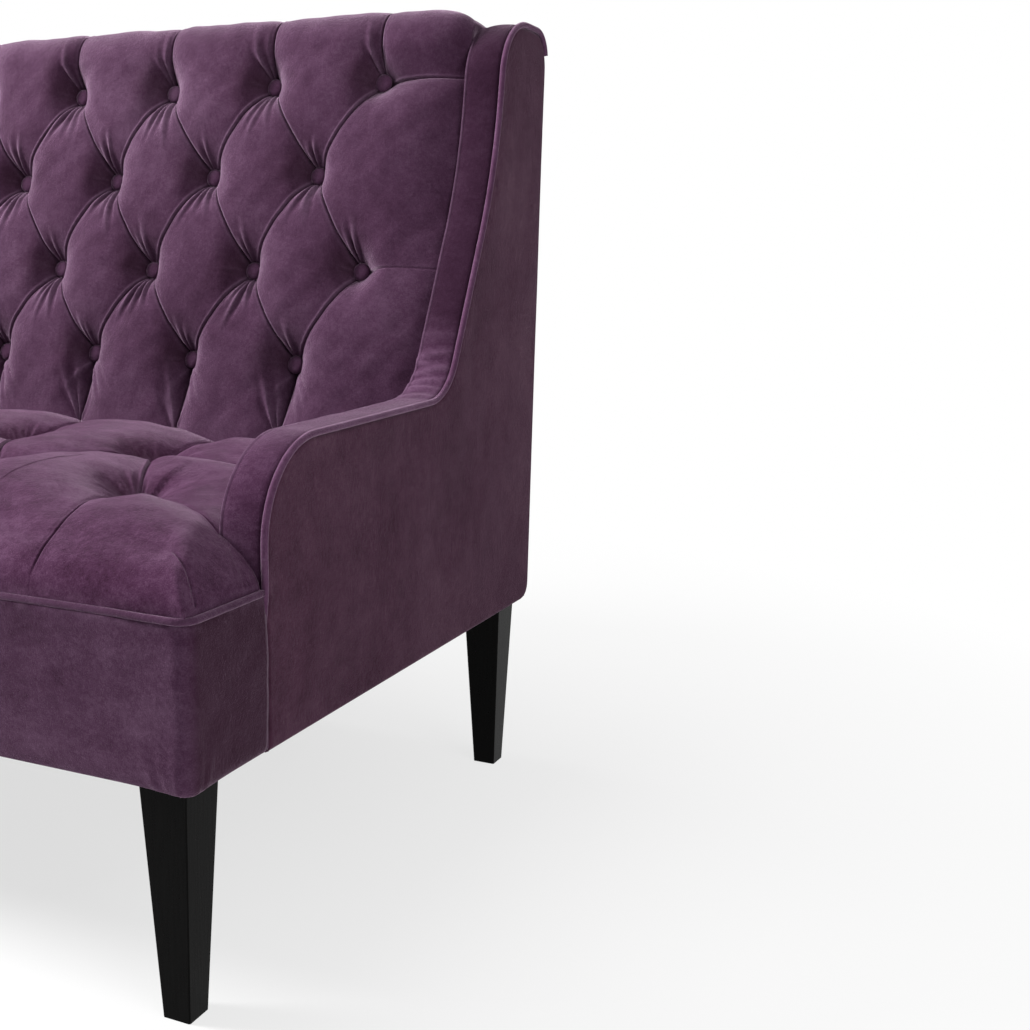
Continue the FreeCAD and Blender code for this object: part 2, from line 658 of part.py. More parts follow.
def under_front_edge(edge):
    """The outer bottom edge of the base, along the front and round the corners to the arms."""
    box = edge.BoundBox
    reach = value("base_corner_radius")
    low = abs(box.ZMax - value("base_height")) < 0.01
    outer = box.YMax < value(back("0")) + reach + 0.01 and box.YMin < value(back("0")) + 0.01
    flank = min(abs(box.XMin), abs(box.XMax)) > value(SIDE) - 0.01
    return low and (outer or flank)


round_edges(seat_border, under_front_edge, "base_edge_radius")


def facet(*corners):
    return Part.Face(Part.makePolygon(list(corners) + [corners[0]]))


def sewn(faces):
    """A solid closed by faces that meet edge to edge."""
    shell = Part.Shell(faces)
    shell.sewShape()
    solid = Part.Solid(shell)
    if solid.Volume < 0:
        solid.reverse()
    return solid


class Quilt:
    """A closed solid skinned with curved patches that share their edges, and flat faces.

    Edges and patches are quadratic.  Each edge is stepped the same way for both of its patches,
    and a patch is a grid of small flat faces between those steps.
    """

    FIELD_STEPS = 6

    def __init__(self, rise):
        self.rise = rise
        self.points = {}
        self.controls = {}
        self.steps = {}
        self.faces = []

    def control(self, start, end):
        middle = (self.points[start] + self.points[end]) * 0.5
        return self.controls.get(frozenset((start, end)), middle)

    def bend(self, start, end, control):
        self.controls[frozenset((start, end))] = control

    def arch(self, start, end, height):
        """Lift the middle of an edge off its chord, along the way the pillows rise."""
        middle = (self.points[start] + self.points[end]) * 0.5
        self.bend(start, end, middle + self.rise * (2 * height))

    def set_steps(self, start, end, count):
        self.steps[frozenset((start, end))] = count

    @staticmethod
    def quadratic(poles, share):
        rest = 1 - share
        return poles[0] * (rest * rest) + poles[1] * (2 * rest * share) + poles[2] * (share * share)

    def run(self, start, end):
        """The stepped points of an edge, its last one left to the next edge of a loop."""
        count = self.steps.get(frozenset((start, end)), 1)
        poles = (self.points[start], self.control(start, end), self.points[end])
        return [self.quadratic(poles, step / count) for step in range(count)]

    def patch(self, first, second, third, fourth, crest=None, across=FIELD_STEPS, along=FIELD_STEPS):
        """A curved face between four points; a crest edge is met level, without a crease."""
        corners = [self.points[name] for name in (first, second, third, fourth)]
        low, high = self.control(first, second), self.control(fourth, third)
        near, far = self.control(first, fourth), self.control(second, third)
        total = corners[0] + corners[1] + corners[2] + corners[3]
        centre = (low + high + near + far) * 0.5 - total * 0.25
        if crest:
            centre += self.rise * (self.control(*crest) - centre).dot(self.rise)
        rows = ((corners[0], low, corners[1]), (near, centre, far), (corners[3], high, corners[2]))
        for pair in ((first, second), (fourth, third)):
            self.set_steps(*pair, across)
        for pair in ((first, fourth), (second, third)):
            self.set_steps(*pair, along)
        grid = []
        for step in range(along + 1):
            poles = [self.quadratic(column, step / along) for column in zip(*rows)]
            grid.append([self.quadratic(poles, share / across) for share in range(across + 1)])
        for lower, upper in between(grid):
            for (here, there), (above, beyond) in zip(between(lower), between(upper)):
                self.faces += [facet(here, there, beyond), facet(here, beyond, above)]

    def flat(self, *loop):
        outline = []
        for start, end in zip(loop, loop[1:] + loop[:1]):
            outline += self.run(start, end)
        self.faces.append(facet(*outline))

    def solid(self, label):
        cover = doc.addObject("Part::Feature", label)
        cover.Shape = sewn(self.faces)
        return keep(cover, label)


def between(places):
    return list(zip(places, places[1:]))


def columns(count, pitch):
    return [(index - (count - 1) / 2) * pitch for index in range(count)]


def tufts_across(width, pitch, margin):
    """How many tufts fit a width with a margin beside the outer ones."""
    return int((width - 2 * margin) / pitch) + 1


def hand_of(place):
    return "right" if place > 0 else "left"


def hem_columns(row):
    """Columns of a hem: a pleat under each tuft of the row and a crown between neighbours."""
    middles = [(left + right) / 2 for left, right in between(row)]
    return sorted(row + middles)


def tuft_field(quilt, rows, crease, crown, hems, side_pleats):
    """Skin a diamond field: rows of tufts from one hem to the other, with a side point per row.

    Every tuft joins the two nearest of the next row by a crease.  A tuft of the first or last
    row sends a straight pleat to its hem, and the outer tuft of each row a line to the side.
    """
    last = len(rows) - 1
    for row, places in enumerate(rows):
        for place in (places[0], places[-1]):
            height = crease * 0.6 if row in side_pleats else crown * 0.9
            quilt.arch(("tuft", row, place), ("side", row, hand_of(place)), height)
    for row in range(last):
        for place in rows[row]:
            for other in rows[row + 1]:
                if abs(place - other) < abs(rows[row][1] - rows[row][0]):
                    quilt.arch(("tuft", row, place), ("tuft", row + 1, other), crease)
    for row in range(1, last):
        for left, right in between(rows[row]):
            middle = (left + right) / 2
            quilt.patch(("tuft", row, left), ("tuft", row - 1, middle),
                        ("tuft", row, right), ("tuft", row + 1, middle))
    for row in range(last):
        for end in (0, -1):
            hand = hand_of(rows[row][end])
            smooth = row if row not in side_pleats else row + 1
            line = (("tuft", smooth, rows[smooth][end]), ("side", smooth, hand))
            quilt.patch(("tuft", row, rows[row][end]), ("side", row, hand),
                        ("side", row + 1, hand), ("tuft", row + 1, rows[row + 1][end]),
                        None if smooth in side_pleats else line)
    for row, inner, hem in ((0, 1, hems[0]), (last, last - 1, hems[1])):
        places = rows[row]
        for place in places:
            quilt.arch(("tuft", row, place), (hem, place), 0)
        for left, right in between(places):
            middle = (left + right) / 2
            apex, top = ("tuft", inner, middle), (hem, middle)
            drop = (quilt.points[top] - quilt.points[apex]).dot(quilt.rise)
            quilt.arch(apex, top, crown - drop / 2)
            for place in (left, right):
                quilt.patch(("tuft", row, place), apex, top, (hem, place), (apex, top))
        for end in (0, -1):
            hand = hand_of(places[end])
            quilt.patch(("tuft", row, places[end]), ("side", row, hand), (hem, hand), (hem, places[end]))


def level_hem(quilt, hem, row, lift):
    """Bow a hem between pleat and crown so that it runs level over each crown."""
    for left, right in between(hem_columns(row)):
        pleat, crown = (left, right) if left in row else (right, left)
        low, high = quilt.points[(hem, pleat)], quilt.points[(hem, crown)]
        middle = (low + high) * 0.5
        quilt.bend((hem, pleat), (hem, crown), middle + lift * ((high - low).dot(lift) / 2))


HANDS = ("left", "right")


def handed(number, hand):
    return number if hand == "right" else -number


# Back cover: the deep-buttoned inside back, rolled over the top of the frame
slope = value("back_slope")
tilt = math.atan(slope)
back_rise = Vector(0, -math.cos(tilt), math.sin(tilt))
back_side = value(FOAM_SIDE)
back_pitch = value("back_tuft_pitch")
back_count = tufts_across(2 * back_side, back_pitch, value("back_tuft_margin"))
row_span = value("back_shoulder - back_low_row")
row_count = int((row_span - value("back_row_margin")) / value("back_row_step")) + 1
back_rows = [columns(back_count - 1 + row % 2, back_pitch) for row in range(row_count)]


def on_back(across, height, proud):
    """A point of the raked back, proud of the plane that the tufts lie in."""
    depth = value(back("back_plane_back")) + slope * (height - value("back_plane_height"))
    return Vector(across, depth, height) + back_rise * proud


def back_row_height(row):
    return value("back_low_row") + row * value("back_row_step")


crown, crease = value("back_crown"), value("back_crease")
hem_z, shoulder_z = value("back_hem_height"), value("back_shoulder")
ridge_y, ridge_z = value(back("back_ridge_back")), value("back_ridge_height")
rear_y = value(back("rear_top_back")) - 0.5
rear_z = ridge_z - value("back_rear_drop")
side_low, side_sink = value("back_side_low"), value("back_side_sink")

quilt = Quilt(back_rise)
for row, places in enumerate(back_rows):
    for place in places:
        quilt.points[("tuft", row, place)] = on_back(place, back_row_height(row), 0)
    for hand in HANDS:
        side = handed(back_side, hand)
        proud = side_low - (side_low + side_sink) * row / (row_count - 1)
        quilt.points[("side", row, hand)] = on_back(side, back_row_height(row), proud)


def back_hem_point(across, proud):
    spot = on_back(across, hem_z, 0)
    return Vector(across, spot.y - proud, hem_z)


ROLL = ("shoulder", "ridge", "rear")
ROLL_STEPS = 3


def roll_points(across, proud, ridge_drop):
    """Shoulder, ridge and rear of the roll over the top of the back."""
    return (on_back(across, shoulder_z, proud), Vector(across, ridge_y, ridge_z - ridge_drop),
            Vector(across, rear_y, rear_z - ridge_drop * 0.4))


for place in hem_columns(back_rows[0]):
    proud = value("back_hem_pleat" if place in back_rows[0] else "back_hem_crown")
    quilt.points[("hem", place)] = back_hem_point(place, proud)
for place in hem_columns(back_rows[-1]):
    proud, drop = crown, 0
    if place in back_rows[-1]:
        proud, drop = value("back_shoulder_pleat"), value("ridge_pleat_drop")
    for name, spot in zip(ROLL, roll_points(place, proud, drop)):
        quilt.points[(name, place)] = spot
for hand in HANDS:
    side = handed(back_side, hand)
    quilt.points[("hem", hand)] = back_hem_point(side, value("back_hem_side"))
    for name, spot in zip(ROLL, roll_points(side, -side_sink, value("ridge_side_drop"))):
        quilt.points[(name, hand)] = spot

level_hem(quilt, "hem", back_rows[0], Vector(0, -1, 0))
level_hem(quilt, "shoulder", back_rows[-1], back_rise)
level_hem(quilt, "ridge", back_rows[-1], Vector(0, 0, 1))
level_hem(quilt, "rear", back_rows[-1], Vector(0, 0, 1))
for hand in HANDS:
    outer = handed(back_rows[0][-1], hand)
    quilt.arch(("hem", outer), ("hem", hand), 0)
    middle = quilt.control(("hem", outer), ("hem", hand))
    quilt.bend(("hem", outer), ("hem", hand), middle + Vector(0, -crown * 0.5, 0))
    outer = handed(back_rows[-1][-1], hand)
    for name, lift in zip(ROLL, (back_rise, Vector(0, 0, 1), Vector(0, 0, 1))):
        middle = quilt.control((name, outer), (name, hand))
        quilt.bend((name, outer), (name, hand), middle + lift * (crown * 0.5))
tuft_field(quilt, back_rows, crease, crown, ("hem", "shoulder"), side_pleats=set(range(1, row_count, 2)))
top_columns = ["left"] + hem_columns(back_rows[-1]) + ["right"]
for place in top_columns:
    shoulder, ridge, rear = (quilt.points[(name, place)] for name in ROLL)
    quilt.bend(("shoulder", place), ("ridge", place),
               Vector(shoulder.x, shoulder.y + slope * (ridge.z - shoulder.z), ridge.z))
    quilt.bend(("ridge", place), ("rear", place), Vector(rear.x, (ridge.y + rear.y) / 2, ridge.z))
for left, right in between(top_columns):
    for near, far in between(ROLL):
        quilt.patch((near, left), (near, right), (far, right), (far, left), along=ROLL_STEPS)

layer_y = {height: value(back(layer_back(height, "back_layer"))) for height in ("back_hem_height", "frame_top")}
under_z = value("frame_top") + value("contact_gap")
under_y = layer_y["frame_top"] + slope * value("contact_gap")
for hand in HANDS:
    side = handed(back_side, hand)
    quilt.points[("foot", hand)] = Vector(side, layer_y["back_hem_height"], hem_z)
    quilt.points[("fold", hand)] = Vector(side, under_y, under_z)
    quilt.points[("lip", hand)] = Vector(side, rear_y, under_z)
    rows_up = [("side", row, hand) for row in range(len(back_rows))]
    quilt.flat(("hem", hand), *rows_up, *[(name, hand) for name in ROLL],
               ("lip", hand), ("fold", hand), ("foot", hand))
low_columns = ["left"] + hem_columns(back_rows[0]) + ["right"]
quilt.flat(*[("hem", place) for place in low_columns], ("foot", "right"), ("foot", "left"))
quilt.flat(("foot", "left"), ("foot", "right"), ("fold", "right"), ("fold", "left"))
quilt.flat(("fold", "left"), ("fold", "right"), ("lip", "right"), ("lip", "left"))
quilt.flat(*[("rear", place) for place in top_columns], ("lip", "right"), ("lip", "left"))
quilt.solid("back_cover")
back_tufts = [(quilt.points[name], back_rise) for name in quilt.points if name[0] == "tuft"]

# Seat cover: a tufted T, mitred at the front corners and dropping to the welt
seat_rise = Vector(0, 0, 1)
seat_pitch = value("seat_tuft_pitch")
seat_count = tufts_across(2 * value(FOAM_SIDE), seat_pitch, value("seat_tuft_margin"))
seat_rows = [columns(seat_count, seat_pitch), columns(seat_count - 1, seat_pitch)]
row_y = [value(back("seat_front_row_back")), value(back("seat_rear_row_back"))]
tuft_z, ledge_z = value("seat_tuft_height"), value(SEAT_LEDGE)
skirt_z = value("welt_height") + value("welt_rebate")
crown, crease = value("seat_crown"), value("seat_crease")
brow_y, brow_z = value(back("seat_brow_back")), value("seat_brow_height")
skirt_y, seat_end = value(back("welt_rebate")), value(back("seat_rear_back"))
arm_y = value(T_BACK)
seat_side, skirt_x = value(FOAM_SIDE), value(SIDE) - value("welt_rebate")
mitre_inset = (value("base_corner_radius") - value("welt_rebate")) * (1 - math.sqrt(0.5))

quilt = Quilt(seat_rise)
for row, places in enumerate(seat_rows):
    for place in places:
        quilt.points[("tuft", row, place)] = Vector(place, row_y[row], tuft_z)
for place in hem_columns(seat_rows[0]):
    dip = value("seat_brow_dip") if place in seat_rows[0] else 0
    quilt.points[("brow", place)] = Vector(place, brow_y, brow_z - dip)
    quilt.points[("skirt", place)] = Vector(place, skirt_y, skirt_z)
for place in hem_columns(seat_rows[1]):
    lift = value("seat_end_pleat" if place in seat_rows[1] else "seat_end_crown")
    quilt.points[("end", place)] = Vector(place, seat_end, tuft_z + lift)
for hand in HANDS:
    side = handed(seat_side, hand)
    mitre_x = handed(skirt_x - mitre_inset, hand)
    rise, crest = value("seat_side_rise"), value("seat_side_crown")
    quilt.points[("side", 0, hand)] = Vector(side, arm_y, tuft_z + rise)
    quilt.points[("side", 1, hand)] = Vector(side, row_y[1] + value("seat_side_shift"), tuft_z + crest)
    quilt.points[("end", hand)] = Vector(side, seat_end, tuft_z + rise)
    quilt.points[("brow", hand)] = Vector(handed(value(f"{SIDE} - seat_corner_inset"), hand),
                                          value(back("seat_corner_back")), value("seat_corner_height"))
    quilt.points[("skirt", hand)] = Vector(mitre_x, skirt_y + mitre_inset, skirt_z)
    quilt.points[("flank", hand)] = Vector(handed(skirt_x, hand), arm_y, skirt_z)
level_hem(quilt, "brow", seat_rows[0], seat_rise)
level_hem(quilt, "end", seat_rows[1], seat_rise)
for hand in HANDS:
    outer = handed(seat_rows[0][-1], hand)
    quilt.arch(("brow", outer), ("brow", hand), value("seat_brow_arch"))
    quilt.arch(("side", 0, hand), ("brow", hand), value("seat_corner_arch"))
    outer = handed(seat_rows[1][-1], hand)
    quilt.arch(("end", outer), ("end", hand), value("seat_end_arch"))
    quilt.arch(("side", 0, hand), ("side", 1, hand), value("seat_side_arch"))
    quilt.arch(("side", 1, hand), ("end", hand), value("seat_brow_arch"))
tuft_field(quilt, seat_rows, crease, crown, ("brow", "end"), side_pleats={0, 1})
front_columns = ["left"] + hem_columns(seat_rows[0]) + ["right"]
for place in front_columns:
    brow, skirt = quilt.points[("brow", place)], quilt.points[("skirt", place)]
    quilt.bend(("brow", place), ("skirt", place),
               Vector(skirt.x, skirt.y, skirt.z + (brow.z - skirt.z) * 0.8))
for left, right in between(front_columns):
    quilt.patch(("brow", left), ("brow", right), ("skirt", right), ("skirt", left), along=ROLL_STEPS)
for hand in HANDS:
    top, foot = quilt.points[("side", 0, hand)], quilt.points[("flank", hand)]
    quilt.bend(("side", 0, hand), ("flank", hand),
               Vector(foot.x - handed(value("welt_rebate"), hand), foot.y, foot.z + value("seat_flank_drop")))
    quilt.patch(("brow", hand), ("side", 0, hand), ("flank", hand), ("skirt", hand), along=ROLL_STEPS)

# The skirt drops straight to the ledge behind the welt, and flat faces close the cover below
for name in [name for name in quilt.points if name[0] in ("skirt", "flank")]:
    spot = quilt.points[name]
    quilt.points[("ledge",) + name] = Vector(spot.x, spot.y, ledge_z)
for hand in HANDS:
    side = handed(seat_side, hand)
    quilt.points[("nook", hand)] = Vector(side, arm_y, ledge_z)
    quilt.points[("heel", hand)] = Vector(side, seat_end, ledge_z)
    quilt.flat(("flank", hand), ("ledge", "flank", hand), ("nook", hand), ("side", 0, hand))
    quilt.flat(("nook", hand), ("heel", hand), ("end", hand), ("side", 1, hand), ("side", 0, hand))
    quilt.flat(("skirt", hand), ("flank", hand), ("ledge", "flank", hand), ("ledge", "skirt", hand))
    outer = handed(seat_rows[0][-1], hand)
    quilt.flat(("skirt", outer), ("skirt", hand), ("ledge", "skirt", hand), ("ledge", "skirt", outer))
front_run = hem_columns(seat_rows[0])
quilt.flat(*[("skirt", place) for place in front_run],
           *[("ledge", "skirt", place) for place in (front_run[-1], front_run[0])])
end_columns = ["left"] + hem_columns(seat_rows[1]) + ["right"]
quilt.flat(*[("end", place) for place in end_columns], ("heel", "right"), ("heel", "left"))
quilt.flat(("ledge", "skirt", front_run[0]), ("ledge", "skirt", front_run[-1]), ("ledge", "skirt", "right"),
           ("ledge", "flank", "right"), ("nook", "right"), ("heel", "right"), ("heel", "left"), ("nook", "left"),
           ("ledge", "flank", "left"), ("ledge", "skirt", "left"))
quilt.solid("seat_cover")
seat_tufts = [(quilt.points[name], seat_rise) for name in quilt.points if name[0] == "tuft"]

# Covered buttons, one form drawn down into every tuft on its tapered stem
STEM_RISE = "contact_gap + button_shank * button_stem / button_radius"
BUTTON_RINGS = (("button_stem", STEM_RISE), ("button_radius", "button_shank + contact_gap"),
                ("button_crown", "button_shank + button_dome"))


def button_group(label, tufts):
    solids = []
    for spot, rise in tufts:
        rings = [ring(BUTTON_SIDES, value(radius), spot + rise * value(height), rise)
                 for radius, height in BUTTON_RINGS]
        faces = [facet(*rings[0]), facet(*rings[-1])]
        for lower, upper in between(rings):
            for index in range(BUTTON_SIDES):
                follow = (index + 1) % BUTTON_SIDES
                faces.append(facet(lower[index], lower[follow], upper[follow], upper[index]))
        solids.append(sewn(faces))
    feature = doc.addObject("Part::Feature", label)
    feature.Shape = Part.makeCompound(solids)
    return keep(feature, label)


button_group("back_buttons", back_tufts)
button_group("seat_buttons", seat_tufts)

# The seat welt lies in the rebate between the border and the skirt, from arm to arm
welt_x = value(SIDE) - (value("welt_rebate") - value("welt_radius"))
welt_y = value(back("0")) + (value("welt_rebate") - value("welt_radius"))
bend_radius = value("base_corner_radius") - (value("welt_rebate") - value("welt_radius"))
welt_z = value("welt_height")
turn = bend_radius * math.sqrt(0.5)
path = []
for hand in HANDS:
    bend_x, bend_y = handed(welt_x - bend_radius, hand), welt_y + bend_radius
    near, far = Vector(bend_x, welt_y, welt_z), Vector(handed(welt_x, hand), bend_y, welt_z)
    via = Vector(bend_x + handed(turn, hand), bend_y - turn, welt_z)
    path.append(Part.Arc(near, via, far).toShape())
    path.append(Part.makeLine(far, Vector(far.x, value(BORDER_END), welt_z)))
straight = welt_x - bend_radius
path.append(Part.makeLine(Vector(-straight, welt_y, welt_z), Vector(straight, welt_y, welt_z)))
cord("seat_welt", path)

doc.recompute()
faulty = [item.Label for item in doc.Objects if {"Invalid", "Error"} & set(item.State)]
for piece in pieces:
    if piece.Shape.isNull() or not piece.Shape.isValid() or not piece.Shape.Solids:
        faulty.append(piece.Label)
if faulty:
    raise RuntimeError(f"pieces that did not build: {faulty}")
os.makedirs("parts", exist_ok=True)
for piece in pieces:
    piece.Shape.exportStep(f"parts/{piece.Label}.step")
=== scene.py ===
"""Looks of the tufted settee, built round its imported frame.

The frame is in metres, +Z up, and the sitter faces -Y.  Shapes are worked out in millimetres, with
depths measured back from the front face of the base, and are set in the frame when a piece is made.
"""
import json
import math
from functools import partial

import bpy
import numpy as np
from mathutils import Matrix, Vector


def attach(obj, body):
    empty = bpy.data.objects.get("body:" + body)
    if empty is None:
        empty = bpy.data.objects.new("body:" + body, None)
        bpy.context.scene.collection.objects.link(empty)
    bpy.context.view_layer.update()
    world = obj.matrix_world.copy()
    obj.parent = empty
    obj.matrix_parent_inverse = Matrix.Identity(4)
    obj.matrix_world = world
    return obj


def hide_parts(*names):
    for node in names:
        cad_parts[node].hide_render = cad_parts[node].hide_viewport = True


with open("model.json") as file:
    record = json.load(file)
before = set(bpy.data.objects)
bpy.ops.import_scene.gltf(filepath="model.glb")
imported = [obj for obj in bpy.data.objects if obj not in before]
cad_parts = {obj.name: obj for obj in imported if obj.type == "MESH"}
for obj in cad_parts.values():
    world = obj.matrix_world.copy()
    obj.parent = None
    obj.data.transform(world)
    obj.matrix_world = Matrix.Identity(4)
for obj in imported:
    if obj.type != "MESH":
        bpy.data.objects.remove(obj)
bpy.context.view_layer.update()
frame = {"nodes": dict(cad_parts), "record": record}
scene = bpy.context.scene

# Sizes shared with the frame, in millimetres
SIDE = 756.5
ARM_INNER = 704.5
FRONT_Y = -427.25
BASE_Z = 237
WELT_Z = 400
WELT_RADIUS = 3.75
WELT_X = 756.25
HANDS = {"left": -1, "right": 1}


# Curves and uneven fields


def mixed(low, high, share):
    return low + (high - low) * share


def eased(share):
    share = np.clip(share, 0, 1)
    return share * share * (3 - 2 * share)


def through(at, knots, values):
    """A smooth curve through given values that never overshoots them."""
    knots, values = np.asarray(knots, float), np.asarray(values, float)
    slopes = np.diff(values) / np.diff(knots)
    joint = np.zeros(len(knots))
    same = slopes[:-1] * slopes[1:] > 0
    safe = np.where(same, slopes[:-1] + slopes[1:], 1)
    joint[1:-1] = np.where(same, 2 * slopes[:-1] * slopes[1:] / safe, 0)
    joint[0], joint[-1] = slopes[0], slopes[-1]
    at = np.clip(at, knots[0], knots[-1])
    cell = np.clip(np.searchsorted(knots, at) - 1, 0, len(slopes) - 1)
    span = knots[cell + 1] - knots[cell]
    share = (at - knots[cell]) / span
    rest = 1 - share
    return (values[cell] * (1 + 2 * share) * rest ** 2 + values[cell + 1] * (3 - 2 * share) * share ** 2
            + span * share * rest * (joint[cell] * rest - joint[cell + 1] * share))


def soft_least(first, second, blend):
    """The lower of two heights, rounded where they cross."""
    share = np.clip(0.5 + 0.5 * (second - first) / blend, 0, 1)
    return second * (1 - share) + first * share - blend * share * (1 - share)


def bell(distance, width):
    return np.exp(-(distance / width) ** 2)


def ripple(across, along, wavelength, seed):
    """A smooth uneven field of about -1 to 1, the same on every run."""
    draw = np.random.RandomState(seed)
    total = np.zeros(np.broadcast(across, along).shape)
    for turn in draw.uniform(0, math.tau, 7):
        pace = draw.uniform(0.7, 1.6) * math.tau / wavelength
        total += np.sin(pace * (across * math.cos(turn) + along * math.sin(turn)) + draw.uniform(0, math.tau))
    return total / 3.2


def gathered(steps):
    """Shares from 0 to 1, closest at both ends, where the pleats are, and close where cloth puckers."""
    fine = np.linspace(0, 1, 2001)
    density = np.ones_like(fine)
    for reach, more in ((0.07, 2.2), (0.33, 1.0)):
        density += more * (bell(fine, reach) + bell(1 - fine, reach))
    total = np.concatenate(([0], np.cumsum((density[1:] + density[:-1]) / 2)))
    return np.interp(np.arange(steps + 1) / steps, total / total[-1], fine)


# Runs of points in the plane
RUN_STEP = 5.0


def run_length(run):
    """The length of a run up to each of its points."""
    return np.concatenate(([0], np.cumsum(np.hypot(*np.diff(run, axis=0).T))))


def evened(run, count):
    """Points spaced evenly along a run."""
    lengths = run_length(run)
    at = np.linspace(0, lengths[-1], count)
    return np.column_stack([np.interp(at, lengths, run[:, axis]) for axis in range(2)])


def rounded_run(corners, step=RUN_STEP):
    """An open run through corners, each given with its rounding, as evenly spaced points."""
    run = [np.array(corners[0][:2], float)]
    for before, corner, after in zip(corners, corners[1:], corners[2:]):
        middle = np.array(corner[:2], float)
        into, out = (np.array(other[:2], float) - middle for other in (before, after))
        into, out = into / np.hypot(*into), out / np.hypot(*out)
        half = 0.5 * math.acos(np.clip(into @ out, -1, 1))
        centre = middle + (into + out) / np.hypot(*(into + out)) * corner[2] / math.sin(half)
        begin, finish = (middle + way * corner[2] / math.tan(half) - centre for way in (into, out))
        first, last = math.atan2(begin[1], begin[0]), math.atan2(finish[1], finish[0])
        sweep = (last - first + math.pi) % math.tau - math.pi
        for share in np.linspace(0, 1, 24):
            angle = first + sweep * share
            run.append(centre + corner[2] * np.array((math.cos(angle), math.sin(angle))))
    run = np.array(run + [np.array(corners[-1][:2], float)])
    return evened(run, int(round(run_length(run)[-1] / step)) + 1)


def headings(run):
    step = np.gradient(run, axis=0)
    return step / np.hypot(*step.T)[:, None]


def nearest_on(run, spot):
    return int(np.argmin(np.hypot(*(run - spot).T)))


# Making pieces


def in_frame(points):
    """Points in the frame's metres from millimetres measured back from the front face."""
    return (np.asarray(points, float) + (0, FRONT_Y, 0)) / 1000


def in_scene(name, data):
    thing = bpy.data.objects.new(name, data)
    scene.collection.objects.link(thing)
    return thing


def grid_faces(rows, columns, first=0):
    index = first + np.arange(rows * columns).reshape(rows, columns)
    return np.stack((index[:-1, :-1], index[:-1, 1:], index[1:, 1:], index[1:, :-1]), -1).reshape(-1, 4)


def turned_out(faces, points, outward):
    """Four-sided faces wound so that they look the given way on the whole."""
    quads = np.asarray(points, float)[faces]
    normals = np.cross(quads[:, 2] - quads[:, 0], quads[:, 3] - quads[:, 1])
    return faces if (normals @ np.asarray(outward, float)).sum() > 0 else faces[:, ::-1]


def make_mesh(name, points, faces, material, attributes=None):
    """A smooth mesh object at the origin from points in millimetres."""
    mesh = bpy.data.meshes.new(name)
    mesh.from_pydata(in_frame(points).tolist(), [], [list(map(int, face)) for face in faces])
    mesh.polygons.foreach_set("use_smooth", [True] * len(mesh.polygons))
    for label, values in (attributes or {}).items():
        values = np.ravel(values).astype(np.float32)
        mesh.attributes.new(label, "FLOAT", "POINT").data.foreach_set("value", values)
    mesh.materials.append(material)
    return in_scene(name, mesh)


def finish_piece(thing, slot, *stands_for, fill=None):
    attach(thing, "root")
    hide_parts(*stands_for)


def across_at(across, places):
    """A grid of points from their places across and their depths and heights."""
    return np.concatenate((np.broadcast_to(across, places.shape[:2])[..., None], places), -1)


def cloth_cover(name, points, outward, material, thickness, node, fill=None, **attributes):
    """A cover from a grid of points, with the thickness of its cloth and lining, inwards."""
    flat = points.reshape(-1, 3)
    faces = turned_out(grid_faces(*points.shape[:2]), flat, outward)
    cover = make_mesh(name, flat, faces, material, attributes)
    wall = cover.modifiers.new("cloth", "SOLIDIFY")
    wall.thickness = thickness / 1000
    wall.offset = -1
    finish_piece(cover, "velvet", node, fill=fill)


# Materials


def feed(tree, socket, given):
    """Sets an input, or links it from a socket or from the first output that a node has in use."""
    if isinstance(given, bpy.types.Node):
        given = next(output for output in given.outputs if output.enabled)
    if isinstance(given, bpy.types.NodeSocket):
        tree.links.new(given, socket)
    else:
        socket.default_value = given


def add_node(tree, kind, settings=None, *ordered, **named):
    """A new node with its settings, and its inputs linked or set in order or by name."""
    node = tree.nodes.new(kind)
    for name, setting in (settings or {}).items():
        setattr(node, name, setting)
    for number, given in enumerate(ordered):
        feed(tree, node.inputs[number], given)
    for name, given in named.items():
        feed(tree, node.inputs[name.replace("_", " ")], given)
    return node


def seen_directly(tree):
    """1 where the camera, a reflection or a clear piece looks, and 0 for light that falls."""
    path = add_node(tree, "ShaderNodeLightPath").outputs
    seen = path["Is Camera Ray"]
    for kind in ("Is Glossy Ray", "Is Transmission Ray"):
        seen = add_node(tree, "ShaderNodeMath", {"operation": "MAXIMUM"}, seen, path[kind])
    return seen


